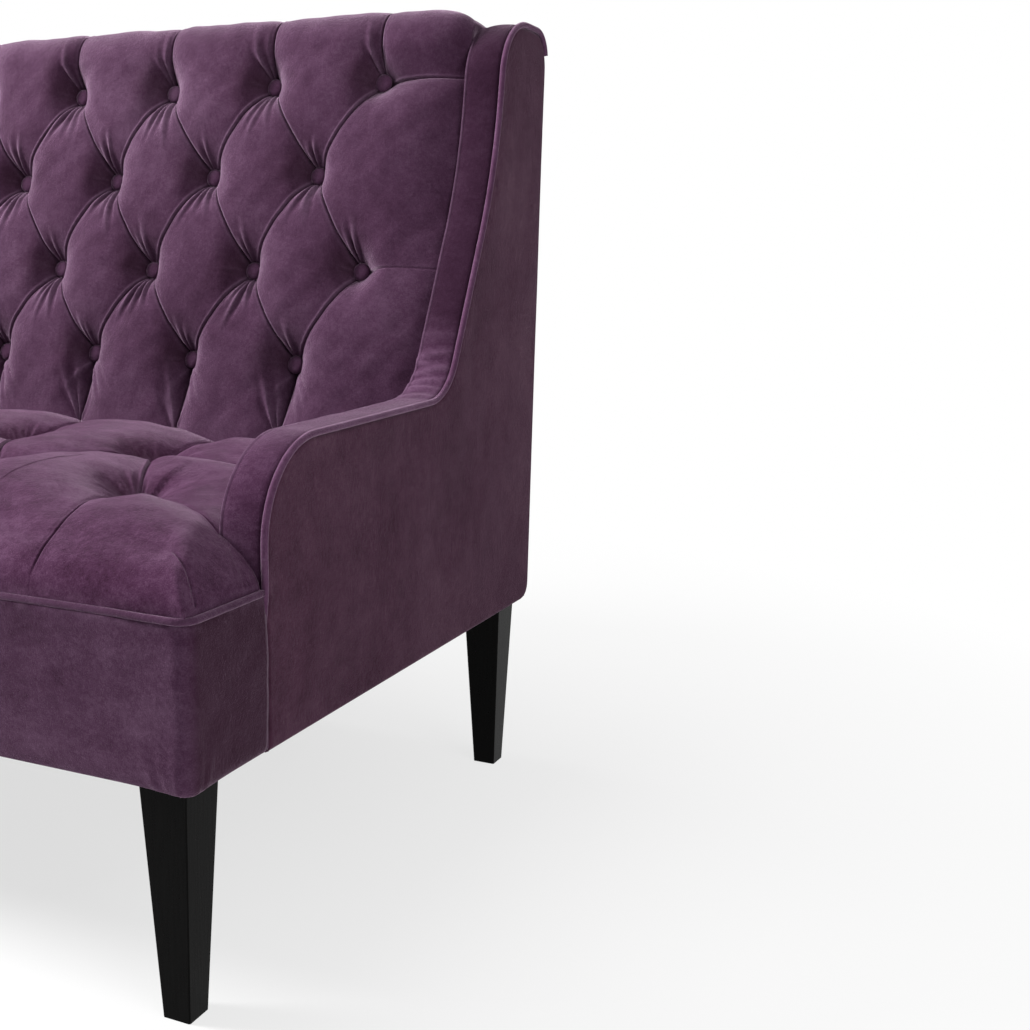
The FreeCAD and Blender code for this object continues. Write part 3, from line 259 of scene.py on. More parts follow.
class Finish:
    """A node material under construction."""

    def __init__(self, name):
        self.material = bpy.data.materials.new(name)
        self.material.use_nodes = True
        self.tree = self.material.node_tree
        self.add = partial(add_node, self.tree)
        self.shader = self.tree.nodes["Principled BSDF"]
        self.place = self.add("ShaderNodeTexCoord").outputs["Object"]

    def noise(self, scale, detail, roughness=0.5, stretch=(1, 1, 1)):
        moved = self.add("ShaderNodeMapping", Vector=self.place, Scale=stretch)
        return self.add("ShaderNodeTexNoise", Vector=moved, Scale=scale, Detail=detail, Roughness=roughness)

    def attribute(self, name):
        return self.add("ShaderNodeAttribute", {"attribute_name": name}).outputs["Fac"]

    def ramp(self, source, stops):
        node = self.add("ShaderNodeValToRGB", Fac=source)
        elements = node.color_ramp.elements
        while len(elements) < len(stops):
            elements.new(0.5)
        for element, (spot, colour) in zip(elements, stops):
            element.position = spot
            element.color = (*colour, 1)
        return node

    def span(self, source, low, high, to_low, to_high):
        return self.add("ShaderNodeMapRange", Value=source, From_Min=low, From_Max=high, To_Min=to_low,
                        To_Max=to_high)

    def maths(self, operation, *values):
        return self.add("ShaderNodeMath", {"operation": operation}, *values)

    def blend(self, share, first, second):
        """A mix of two colours, which are the node's seventh and eighth inputs."""
        node = self.add("ShaderNodeMix", {"data_type": "RGBA"}, Factor=share)
        for socket, given in zip(node.inputs[6:8], (first, second)):
            feed(self.tree, socket, given)
        return node

    def bump(self, height, distance, strength, **below):
        return self.add("ShaderNodeBump", Height=height, Distance=distance, Strength=strength, **below)

    def set(self, **inputs):
        for name, given in inputs.items():
            feed(self.tree, self.shader.inputs[name.replace("_", " ")], given)
        return self.material


VELVET_DEEP = (0.024, 0.0085, 0.019)
VELVET_BODY = (0.056, 0.0240, 0.0495)
VELVET_PALE = (0.175, 0.105, 0.165)
SHADED_TINT = (1.02, 0.97, 0.84)
# Cast of the darker colour of the painted shade
PAINTED_SHADE_TINT = (1.15, 0.95, 0.62)
SHEEN_TINT = (0.84, 0.62, 0.80, 1)


def velvet(name, shade, brushed=(1, 1, 1), cast=(1, 1, 1), sheen=0.75, mottle=1.0, painted_shade_cast=PAINTED_SHADE_TINT):
    """Cut-pile velvet: blotchy nap, a fine pile, pale painted highlights that also stand for wear on rubbed edges,
    and darker painted shade, both where the mesh's attributes mark them.
    """
    finish = Finish(name)
    hand_marks, nap = finish.noise(7.0, 4, 0.55, brushed), finish.noise(48.0, 6, 0.7, brushed)
    crush, pile = finish.noise(190.0, 4, 0.7), finish.noise(760.0, 3, 0.7)
    tint = 0.0
    for layer, weight in ((hand_marks, 0.30), (nap, 0.28), (crush, 0.22), (pile, 0.20)):
        tint = finish.maths("MULTIPLY_ADD", layer, weight, tint)
    deep, body, pale = (shade * np.array(tone) * cast for tone in (VELVET_DEEP, VELVET_BODY, VELVET_PALE))
    low, high = 0.5 - 0.20 / mottle, 0.5 + 0.28 / mottle
    colour = finish.ramp(tint, [(low, deep), (0.50, body), (high, mixed(body, pale, 0.5))])
    # Painted shade: a darker colour where the mesh marks shade
    colour = finish.blend(finish.attribute("turned_nap"), colour, (*(0.75 * deep * painted_shade_cast), 1))
    # Painted highlight, and wear on rubbed edges: a paler colour where the mesh marks them
    crest = finish.maths("MULTIPLY", finish.attribute("crest"), finish.span(crush, 0.3, 0.7, 0.5, 1.0))
    colour = finish.blend(finish.span(crest, 0.0, 1.0, 0.0, 0.8), colour, (*pale, 1))
    soft = finish.bump(crush, 0.0014, 0.45, Normal=finish.bump(pile, 0.0008, 0.6))
    return finish.set(Base_Color=colour, Roughness=finish.span(nap, 0.3, 0.7, 0.75, 0.95), Normal=soft,
                      Specular_IOR_Level=0.0, Sheen_Weight=sheen, Sheen_Roughness=0.34, Sheen_Tint=SHEEN_TINT)


def lacquered_wood(name):
    """Satin black lacquer over straight grain, a little polished."""
    finish = Finish(name)
    grain = finish.noise(60.0, 5, 0.6, (6, 6, 0.35))
    dust = finish.noise(420.0, 2, 0.5)
    colour = finish.ramp(grain, [(0.3, (0.0008, 0.0007, 0.0007)), (0.7, (0.0022, 0.002, 0.002))])
    rough = finish.maths("ADD", finish.span(grain, 0.3, 0.7, 0.24, 0.34), finish.span(dust, 0.45, 0.8, 0.0, 0.08))
    return finish.set(Base_Color=colour, Roughness=rough, Normal=finish.bump(grain, 0.0005, 0.25), IOR=1.13)


def grained(name, noise, stops, rough, bump, **others):
    """A material whose colour, roughness and surface all follow one grain."""
    finish = Finish(name)
    grain = finish.noise(*noise)
    return finish.set(Base_Color=finish.ramp(grain, stops), Roughness=finish.span(grain, 0.3, 0.7, *rough),
                      Normal=finish.bump(grain, *bump), **others)


def woven(name, dark, pale, threads, weave_depth):
    """Plain weave: two crossed sets of ridges with uneven thread colour."""
    finish = Finish(name)
    waves = [finish.add("ShaderNodeTexWave", {"wave_type": "BANDS", "bands_direction": axis, "wave_profile": "SIN"},
                        Vector=finish.place, Scale=threads, Distortion=0.4, Detail=1.0).outputs["Fac"]
             for axis in ("X", "Y")]
    weave = finish.maths("MAXIMUM", *waves)
    slub = finish.noise(90.0, 3, 0.6)
    colour = finish.ramp(finish.maths("MULTIPLY", weave, slub), [(0.1, dark), (0.7, pale)])
    return finish.set(Base_Color=colour, Roughness=finish.span(slub, 0.3, 0.7, 0.8, 0.95),
                      Normal=finish.bump(weave, weave_depth, 0.6), Specular_IOR_Level=0.2)


back_velvet = velvet("back_velvet", 1.04)
seat_velvet = velvet("seat_velvet", 1.02, cast=(1.0, 0.87, 0.97), sheen=0.3, mottle=1.7)
arm_velvet = velvet("arm_velvet", 1.04, (0.7, 0.7, 1.2), (1.0, 0.92, 0.99), sheen=0.33, mottle=1.3,
                    painted_shade_cast=(0.9, 1.05, 0.92))
panel_velvet = velvet("panel_velvet", 1.18, (1.0, 0.9, 0.8), SHADED_TINT, sheen=0.4, mottle=1.2)
band_velvet = velvet("band_velvet", 0.98, (0.7, 1.0, 1.2), sheen=0.45, mottle=1.3)
# Painted highlight: a much paler copy of the velvet for the welts
welt_velvet = velvet("welt_velvet", 1.75, sheen=0.7)
seat_welt_velvet = velvet("seat_welt_velvet", 1.05, sheen=0.6)
# Painted highlight: a paler copy of the velvet for the buttons, as if lit in their wells
button_velvet_painted_highlight = velvet("button_velvet_painted_highlight", 1.45)
black_wood = lacquered_wood("black_wood")
frame_timber = grained("frame_timber", (22.0, 6, 0.6, (0.5, 5, 5)),
                       [(0.3, (0.42, 0.27, 0.14)), (0.55, (0.56, 0.39, 0.22)), (0.8, (0.66, 0.49, 0.30))],
                       (0.55, 0.75), (0.0008, 0.4))
webbing_weave = woven("webbing_weave", (0.10, 0.075, 0.05), (0.30, 0.24, 0.16), 160.0, 0.0006)
dust_weave = woven("dust_weave", (0.008, 0.008, 0.009), (0.030, 0.030, 0.032), 260.0, 0.0003)
bolt_steel = grained("bolt_steel", (160.0, 4, 0.6, (1, 1, 8)), [(0.3, (0.42, 0.42, 0.43)), (0.7, (0.60, 0.60, 0.61))],
                     (0.28, 0.45), (0.0003, 0.3), Metallic=1.0)


# Tufted covers


def tuft_row(count, pitch, level):
    return [((number - (count - 1) / 2) * pitch, level) for number in range(count)]


def pleat_gap(pitch, step):
    """The distance between neighbouring parallel pleats."""
    return 1 / math.hypot(1 / pitch, 0.5 / step)


class Quilt:
    """The flat layout of a tufted cover: four-sided patches with a pleat or a crown along each edge."""

    def __init__(self, steps):
        self.steps = steps
        self.spots = []
        self.faces = []
        self.count = 0

    def patch(self, *corners, along=None):
        across, along = self.steps, along or self.steps
        corners = np.array(corners, float)
        s, t = gathered(across)[None, :, None], gathered(along)[:, None, None]
        spots = mixed(mixed(corners[0], corners[1], s), mixed(corners[3], corners[2], s), t)
        faces = grid_faces(along + 1, across + 1, self.count)
        one, other = corners[2] - corners[0], corners[3] - corners[1]
        if one[0] * other[1] - one[1] * other[0] < 0:
            faces = faces[:, ::-1]
        self.spots.append(spots.reshape(-1, 2))
        self.faces.append(faces)
        self.count += (across + 1) * (along + 1)

    def half_diamonds(self, row, step, hem):
        """The diamonds that a straight hem cuts off beside the last row of tufts."""
        for pair in zip(row, row[1:]):
            middle = (pair[0][0] + pair[1][0]) / 2
            for tuft in pair:
                self.patch(tuft, (middle, tuft[1] + step), (middle, hem), (tuft[0], hem))

    def joined(self):
        """One layout with the patches' shared points merged."""
        spots = np.concatenate(self.spots)
        _, first, place = np.unique(np.round(spots * 200).astype(np.int64), axis=0, return_index=True,
                                    return_inverse=True)
        return spots[first], place.reshape(-1)[np.concatenate(self.faces)]


def rim_of(faces):
    """Directed edges that only one face uses."""
    runs = np.concatenate([faces[:, (side, (side + 1) % 4)] for side in range(4)])
    _, place, count = np.unique(np.sort(runs, 1), axis=0, return_inverse=True, return_counts=True)
    return runs[count[place.reshape(-1)] == 1]


def turned_under(points, faces, rim, below):
    """Points and faces with a skirt from the rim to points below, and the skirt's points by rim point."""
    edge = np.unique(rim)
    under = {int(spot): len(points) + number for number, spot in enumerate(edge)}
    points = np.concatenate((points, below[edge]))
    faces = [list(map(int, face)) for face in faces]
    faces += [[int(end), int(start), under[int(start)], under[int(end)]] for start, end in rim]
    return points, faces, under


def edge_points(under, places, level, order):
    """The skirt's points along one straight edge of a cover, in order."""
    edge = [spot for spot in under if abs(places[spot] - level) < 0.01]
    return [under[spot] for spot in sorted(edge, key=order.__getitem__)]


def painted_light_and_wear(crest, turned, under):
    """Painted highlight, which also stands for wear, and painted shade on each point of a cover, none on its skirt.
    """
    plain = np.zeros(len(under))
    return {"crest": np.concatenate((np.clip(crest, 0, 1), plain)), "turned_nap": np.concatenate((turned, plain))}


FULLNESS = 2.4  # power of a pillow's section; 2 would make it a parabola


def swell(share):
    """The fullness of a pillow across its width: 0 in the pleats at 0 and 1, level at the middle."""
    return 1 - np.abs(2 * share - 1) ** FULLNESS


def pillowed(first, second, rise):
    """Fullness between two crossing sets of pleats, whose own middles are drawn up part of the way."""
    one, other = swell(first - np.floor(first)), swell(second - np.floor(second))
    return (0.5 + rise) * (one + other) - 2 * rise * one * other


def raised(share, rise):
    """Fullness along a line through the tufts, which meets that between crossing pleats."""
    full = swell(share - np.floor(share))
    return full + 2 * rise * full * (1 - full)


def half_swell(distance, width):
    return 1 - (1 - np.clip(np.abs(distance) / width, 0, 1)) ** FULLNESS


def nearer(first, second):
    """Of two signed distances, the one nearer to nothing."""
    return np.where(np.abs(first) < np.abs(second), first, second)


def folded(distance, strength):
    """The lie of a folded pleat: a rolled rim on its near side that hangs over a slit, and the paleness of a painted
    highlight on the rim and a little in the tuck.
    """
    rim, slit, tuck = bell(distance - 2.6, 1.6), bell(distance, 1.25), bell(distance + 3.6, 2.6)
    return strength * (0.8 * rim - 4.6 * slit - 0.7 * tuck), strength * (0.75 * rim + 0.12 * tuck)


def puckers(spots, tufts, fans, seed):
    """Lift of the creases drawn out from each tuft in fans, and the paleness of a painted highlight on their ridges.

    Each fan has its middle direction, spread, number of creases, lengths and heights.
    """
    draw = np.random.RandomState(seed)
    drawn = np.zeros((2, len(spots)))
    for tuft in tufts:
        away = spots - np.asarray(tuft, float)
        near = np.flatnonzero((np.abs(away) < 130).all(1))
        for middle, spread, count, lengths, heights in fans:
            for number in range(count):
                share = (number + 0.5) / count * 2 - 1
                turn = math.radians(middle + spread * share + draw.uniform(-4, 4))
                length = draw.uniform(*lengths)
                height = draw.uniform(*heights)
                width = draw.uniform(0.85, 1.1)
                bow = draw.uniform(-6, 6) / length ** 2
                along = away[near, 0] * math.cos(turn) + away[near, 1] * math.sin(turn)
                aside = away[near, 1] * math.cos(turn) - away[near, 0] * math.sin(turn) - bow * along ** 2
                width = width * np.clip(along * math.radians(spread / count) / 1.6, 1.4, 4.2)
                fade = eased((along - 8) / 10) * eased((length - along) / (0.8 * length))
                ridge, valley = bell(aside, width) * fade, bell(aside - 1.6 * width, width) * fade
                drawn[0, near] += height * (ridge - 0.75 * valley)
                # Painted highlight along each crease's ridge
                drawn[1, near] += 0.16 * ridge * height
    return drawn


def around(spots, tufts):
    """Distance to the nearest tuft, and how far to its right and a little below a spot lies, from -1 to 1."""
    away = spots[None] - np.asarray(tufts, float)[:, None]
    distance = np.hypot(away[..., 0], away[..., 1])
    nearest = distance.argmin(0)
    every = np.arange(len(spots))
    away, distance = away[nearest, every], distance[nearest, every]
    return distance, (away @ np.array((0.94, -0.34))) / np.maximum(distance, 1)


# Inside back: layout across and up the raked plane that the tufts lie in
BACK_SLOPE = 0.254
RAKE = math.hypot(1, BACK_SLOPE)
BACK_START = (595, 480)
BACK_PITCH = 167
BACK_STEP = 123 * RAKE
BACK_LOW = (575 - BACK_START[1]) * RAKE
BACK_TOP_ROW = BACK_LOW + 3 * BACK_STEP
BACK_LOW_TUFTS = 7
BACK_WIDE = 3.5  # half the length of the wider rows, in pitches
BACK_CROWN = 42
BACK_SINK = 7
BACK_PLEAT_RISE = 0.33
BACK_EDGE = 704.2
BACK_HEM = (436 - BACK_START[1]) * RAKE
BACK_GAP = pleat_gap(BACK_PITCH, BACK_STEP)
ROLL_START = (985 - BACK_START[1]) * RAKE
ROLL_RADIUS = 20
ROLL_TURN = math.atan2(1, BACK_SLOPE)
ROLL_END = ROLL_START + ROLL_RADIUS * ROLL_TURN
REAR_START = ROLL_END + 98
REAR_RADIUS = 1.5
REAR_END = REAR_START + REAR_RADIUS * math.pi / 2
BACK_LAST = REAR_END + 12
BACK_LEVELS = (BACK_HEM, BACK_LOW, BACK_TOP_ROW, ROLL_START, ROLL_END, REAR_START, BACK_LAST)

# Fans of puckers: middle direction, spread, number, lengths and heights
BACK_FANS = ((105, 16, 2, (46, 80), (2.8, 4.8)), (20, 30, 2, (20, 34), (1.2, 2.0)),
             (178, 10, 1, (26, 42), (1.0, 1.8)), (138, 10, 1, (20, 30), (1.2, 2.0)))
DOWN_FANS = ((-98, 24, 3, (62, 104), (3.2, 5.6)),)
LOW_FANS = ((-62, 16, 2, (80, 124), (3.4, 5.4)), (-108, 10, 1, (50, 80), (2.0, 3.2)))
HEM_FANS = ((106, 15, 2, (84, 140), (2.8, 4.6)), (78, 10, 1, (50, 90), (1.6, 2.8)))


def back_line(along):
    """Points and outward normals, as depth and height, of the line that the cover is built up from."""
    along = np.asarray(along, float)
    rise = np.minimum(along, ROLL_START) / RAKE
    depth, height = BACK_START[0] + BACK_SLOPE * rise, BACK_START[1] + rise
    turn = np.clip((along - ROLL_START) / ROLL_RADIUS, 0, ROLL_TURN)
    heading = ROLL_TURN - turn
    depth = depth + ROLL_RADIUS * (math.sin(ROLL_TURN) - np.sin(heading))
    height = height + ROLL_RADIUS * (np.cos(heading) - math.cos(ROLL_TURN))
    depth = depth + np.clip(along - ROLL_END, 0, REAR_START - ROLL_END)
    drop = np.clip((along - REAR_START) / REAR_RADIUS, 0, math.pi / 2)
    depth = depth + REAR_RADIUS * np.sin(drop)
    height = height - REAR_RADIUS * (1 - np.cos(drop)) - np.maximum(along - REAR_END, 0)
    facing = heading - drop
    return np.stack((depth, height), -1), np.stack((-np.sin(facing), np.cos(facing)), -1)


def back_layout():
    quilt = Quilt(64)
    rows = [tuft_row(BACK_LOW_TUFTS + row % 2, BACK_PITCH, BACK_LOW + row * BACK_STEP) for row in range(4)]
    for row in (1, 2):
        for left, right in zip(rows[row], rows[row][1:]):
            middle = (left[0] + right[0]) / 2
            quilt.patch(left, (middle, left[1] - BACK_STEP), right, (middle, left[1] + BACK_STEP))
    ends = ((0, -BACK_EDGE), (-1, BACK_EDGE))
    for row in range(3):
        for end, edge in ends:
            low, high = rows[row][end], rows[row + 1][end]
            quilt.patch(low, (edge, low[1]), (edge, high[1]), high)
    shoulder = ROLL_START - 4
    for row, step, hem in ((0, BACK_STEP, BACK_HEM), (3, -BACK_STEP, shoulder)):
        quilt.half_diamonds(rows[row], step, hem)
        for end, edge in ends:
            tuft = rows[row][end]
            quilt.patch(tuft, (edge, tuft[1]), (edge, hem), (tuft[0], hem))
    pleats = [spot[0] for spot in rows[3]]
    middles = [(left + right) / 2 for left, right in zip(pleats, pleats[1:])]
    edges = sorted([-BACK_EDGE, BACK_EDGE] + pleats + middles)
    for left, right in zip(edges, edges[1:]):
        quilt.patch((left, shoulder), (right, shoulder), (right, BACK_LAST), (left, BACK_LAST), along=44)
    return *quilt.joined(), [spot for row in rows for spot in row]


def back_form(across, along):
    """Height of the tufted back over its line, with the distance and strength of the nearest pleat."""
    x = across / BACK_PITCH
    row = (along - BACK_LOW) / BACK_STEP
    outer = np.abs(x) > BACK_WIDE
    outermost = BACK_WIDE * BACK_PITCH
    reach = np.clip((np.abs(across) - outermost) / (BACK_EDGE - outermost), 0, 1)
    sink = through(along, BACK_LEVELS, (0, BACK_SINK, BACK_SINK, BACK_SINK, 0, 0, 0))
    crown = through(along, BACK_LEVELS, (31, BACK_CROWN, BACK_CROWN, 41, 37, 17, 12))
    at_wing = through(along, BACK_LEVELS, (14, 16, -4, 2, 15, 8, 11)) + sink
    rounding = through(along, BACK_LEVELS, (2.4, 2.4, 2.6, 4.2, 7, 7, 4))
    crown = mixed(crown, at_wing, reach ** rounding)
    side_pleat = mixed(0, at_wing - 1, reach) + 12 * np.sin(math.pi * reach)
    side_pleat = np.where(row < 2, mixed(side_pleat, crown, 0.7 * eased(reach / 0.45)), side_pleat)

    # Diamonds between the rows
    a, b = x + row / 2, x - row / 2
    field = crown * pillowed(a, b, BACK_PLEAT_RISE)
    fold = nearer((a - np.round(a)) * BACK_GAP, (np.round(b) - b) * BACK_GAP)
    strength = np.ones_like(x)

    # Upright pleats from the lowest tufts down to the seat
    low = row < 0
    pleat = 23 * eased((BACK_LOW - along) / (0.8 * (BACK_LOW - BACK_HEM)))
    beside = np.where(outer, 0.5, x - np.floor(x))
    field = np.where(low, mixed(pleat, crown, raised(beside, BACK_PLEAT_RISE)), field)
    fold = np.where(low, np.where(outer, 99, (x - np.round(x)) * BACK_PITCH), fold)

    # Upright pleats from the highest tufts over the roll
    high = row > 3
    pleat = through(along, BACK_LEVELS[2:], (0, 24, 35.5, 15.5, 11))
    shifted = x - 0.5
    beside = np.where(outer, np.minimum(np.abs(x) - BACK_WIDE, 0.5), shifted - np.floor(shifted))
    top = mixed(pleat, crown, raised(beside, BACK_PLEAT_RISE))
    over = mixed(side_pleat, crown, raised(np.clip((row - 3) / 2, 0, 0.5), BACK_PLEAT_RISE))
    field = np.where(high, np.where(outer, soft_least(top, over, 4), top), field)
    upright = np.where(outer, np.abs(x) - BACK_WIDE, shifted - np.round(shifted)) * BACK_PITCH
    level = (row - 3) * BACK_STEP
    fold = np.where(high, np.where(outer, nearer(level, upright), upright), fold)
    strength = np.where(high, 1 - 0.75 * eased((along - ROLL_START) / 90), strength)

    # Level pleats from the outermost tufts to the wings
    flank = outer & ~low & ~high
    turn = (row - 1) / 2
    field = np.where(flank, mixed(side_pleat, crown, raised(turn, BACK_PLEAT_RISE)), field)
    fold = np.where(flank, (turn - np.round(turn)) * 2 * BACK_STEP, fold)
    strength = np.where(outer & (np.abs(fold) < 30) & (np.abs(level) < 40) | flank, 1 - 0.8 * reach, strength)
    strength = np.where(flank & (row < 2), 1 - 0.85 * eased(reach / 0.5), strength)
    return field - sink, fold, strength


def back_shift(across, along):
    """Small unevenness of the hand-set tufts, none at the sides or the seat."""
    free = eased((BACK_EDGE - np.abs(across)) / 90) * eased((along - BACK_HEM) / 60)
    return (across + 2.6 * free * ripple(across, along, 330, 11),
            along + 2.4 * free * ripple(across, along, 290, 12) * eased((BACK_LAST - along) / 120))


def set_on_back(across, along, proud):
    line, facing = back_line(along)
    return np.column_stack((across, line + facing * np.asarray(proud)[:, None]))


def tufted_back():
    """The inside back with its wadding; returns where its buttons sit and the way they face."""
    spots, faces, tufts = back_layout()
    across, along = spots.T
    field, fold, strength = back_form(across, along)
    nearest, aside = around(spots, tufts)
    # The pleats' lift, and a painted highlight along their rims
    lift, crest = folded(fold, strength * mixed(0.35, 1, eased((nearest - 6) / 16)))
    low_tufts = tufts[:BACK_LOW_TUFTS]
    inner_tufts = [spot for spot in tufts[BACK_LOW_TUFTS:] if abs(spot[0]) < BACK_WIDE * BACK_PITCH - 1]
    hems = [(spot[0], BACK_HEM + 34) for spot in low_tufts]
    drawn, painted_pucker_highlight = (puckers(spots, tufts, BACK_FANS, 21) + puckers(spots, inner_tufts, DOWN_FANS, 25)
                          + puckers(spots, low_tufts, LOW_FANS, 23) + puckers(spots, hems, HEM_FANS, 24))
    well = -8.0 * bell(nearest, 22) - 2.5 * bell(nearest, 9)
    uneven = 1.1 * ripple(across, along, 120, 31) + 0.45 * ripple(across, along, 46, 32)
    proud = field + lift + drawn + well + uneven * eased((field + BACK_SINK) / 14)
    placed = set_on_back(*back_shift(across, along), proud)
    faces = turned_out(faces, placed, (0, -1, 0.25))
    beneath = through(along, (BACK_HEM, ROLL_START, ROLL_END, BACK_LAST), (-17, -17, 0.4, 0.6))
    placed, faces, under = turned_under(placed, faces, rim_of(faces), set_on_back(across, along, beneath))
    left, right = (edge_points(under, across, hand * BACK_EDGE, along) for hand in (-1, 1))
    hem, rear = (edge_points(under, along, level, across) for level in (BACK_HEM, BACK_LAST))
    faces += [(hem + [right[1], left[1]])[::-1], rear + [right[-2], left[-2]]]
    faces += zip(left[1:-2], left[2:-1], right[2:-1], right[1:-2])
    # Painted highlight on the lit side of each well, right of and below the tuft, and painted shade on its far side
    painted_well_highlight = mixed(0.12, 0.55, np.clip(aside, 0, 1)) * bell(nearest - 17, 10)
    turned = 0.55 * np.clip(-aside, 0, 1) * bell(nearest, 36)
    cover = make_mesh("tufted_back", placed, faces, back_velvet,
                      painted_light_and_wear(crest + painted_pucker_highlight + painted_well_highlight, turned, under))
    finish_piece(cover, "velvet", "back_cover", "back_foam", fill=0.8)
    heads = np.array(tufts).T
    facing = back_line(heads[1])[1]
    return (set_on_back(*back_shift(*heads), np.full(len(tufts), -BACK_SINK)),
            np.column_stack((np.zeros(len(tufts)), facing)))


# Seat: layout across and back, heights over the floor
SEAT_PITCH = 212
SEAT_FRONT_ROW = 235
SEAT_STEP = 170
SEAT_GAP = pleat_gap(SEAT_PITCH, SEAT_STEP)
SEAT_REAR_ROW = SEAT_FRONT_ROW + SEAT_STEP
SEAT_FRONT_END = 2.5 * SEAT_PITCH
SEAT_REAR_END = 2 * SEAT_PITCH
SEAT_TUFT_Z = 445
SEAT_CROWN = 41
SEAT_SINK = 8
SEAT_PLEAT_RISE = 0.16
SEAT_RISE = 22
SEAT_END = 566
SEAT_EDGE = 704.2
SEAT_SKIRT = 4
SEAT_UNDER = 397.0
SEAT_BROW = 40  # depth of the line where the front turns down
BROW_END = 716.5
ARM_FRONT = 127.7
ARM_PLEAT = 424
# Pleats from the end tufts to the arms: start, end, widths ahead and behind, and depths along
SIDE_PLEATS = (((SEAT_FRONT_END, SEAT_FRONT_ROW), (SEAT_EDGE, ARM_FRONT), (100, 170), (SEAT_CROWN, 18, 9, 5)),
               ((SEAT_REAR_END, SEAT_REAR_ROW), (SEAT_EDGE, ARM_PLEAT), (120, 150), (SEAT_CROWN, 19, 11, 9)))
MITRE = ((752.5, 25), (704, 50))  # the sewn line in from each front corner
END_PLEAT_LEAN = 50
SEAT_FANS = ((140, 34, 6, (50, 96), (1.8, 3.4)), (58, 18, 2, (40, 70), (1.6, 3.0)),
             (-58, 22, 3, (40, 70), (1.8, 3.2)), (-122, 22, 3, (40, 70), (1.8, 3.2)))


def seat_layout():
    quilt = Quilt(54)
    front, rear = tuft_row(6, SEAT_PITCH, SEAT_FRONT_ROW), tuft_row(5, SEAT_PITCH, SEAT_REAR_ROW)
    quilt.half_diamonds(front, SEAT_STEP, SEAT_BROW)
    quilt.half_diamonds(rear, -SEAT_STEP, SEAT_END)
    columns = sorted(spot[0] for spot in front + rear)
    for left, right in zip(columns, columns[1:]):
        quilt.patch((left, SEAT_BROW), (right, SEAT_BROW), (right, SEAT_SKIRT), (left, SEAT_SKIRT), along=16)
    for hand in HANDS.values():
        end, edge, side = hand * SEAT_FRONT_END, hand * SEAT_EDGE, hand * (SIDE - SEAT_SKIRT)
        tuft, inner = (end, SEAT_FRONT_ROW), (hand * SEAT_REAR_END, SEAT_REAR_ROW)
        nook, arm, brow = (edge, ARM_FRONT), (edge, ARM_PLEAT), (hand * BROW_END, SEAT_BROW)
        quilt.patch(tuft, nook, arm, inner)
        quilt.patch(inner, arm, (edge, SEAT_END), (inner[0], SEAT_END))
        quilt.patch(tuft, nook, brow, (end, SEAT_BROW))
        quilt.patch((end, SEAT_BROW), brow, (side, SEAT_SKIRT), (end, SEAT_SKIRT), along=16)
        quilt.patch(nook, brow, (side, SEAT_SKIRT), (side, ARM_FRONT), along=16)
    return *quilt.joined(), front + rear


def beside_line(across, back, start, end):
    """Share along a line, distance from it, positive to its rear, and the way past its ends."""
    start, end = np.array(start, float), np.array(end, float)
    run = end - start
    length = np.hypot(*run)
    run = run / length
    along = (across - start[0]) * run[0] + (back - start[1]) * run[1]
    off = (back - start[1]) * run[0] - (across - start[0]) * run[1]
    share = np.clip(along / length, 0, 1)
    past = along - share * length
    return share, np.hypot(off, past) * np.where(off < 0, -1, 1), past


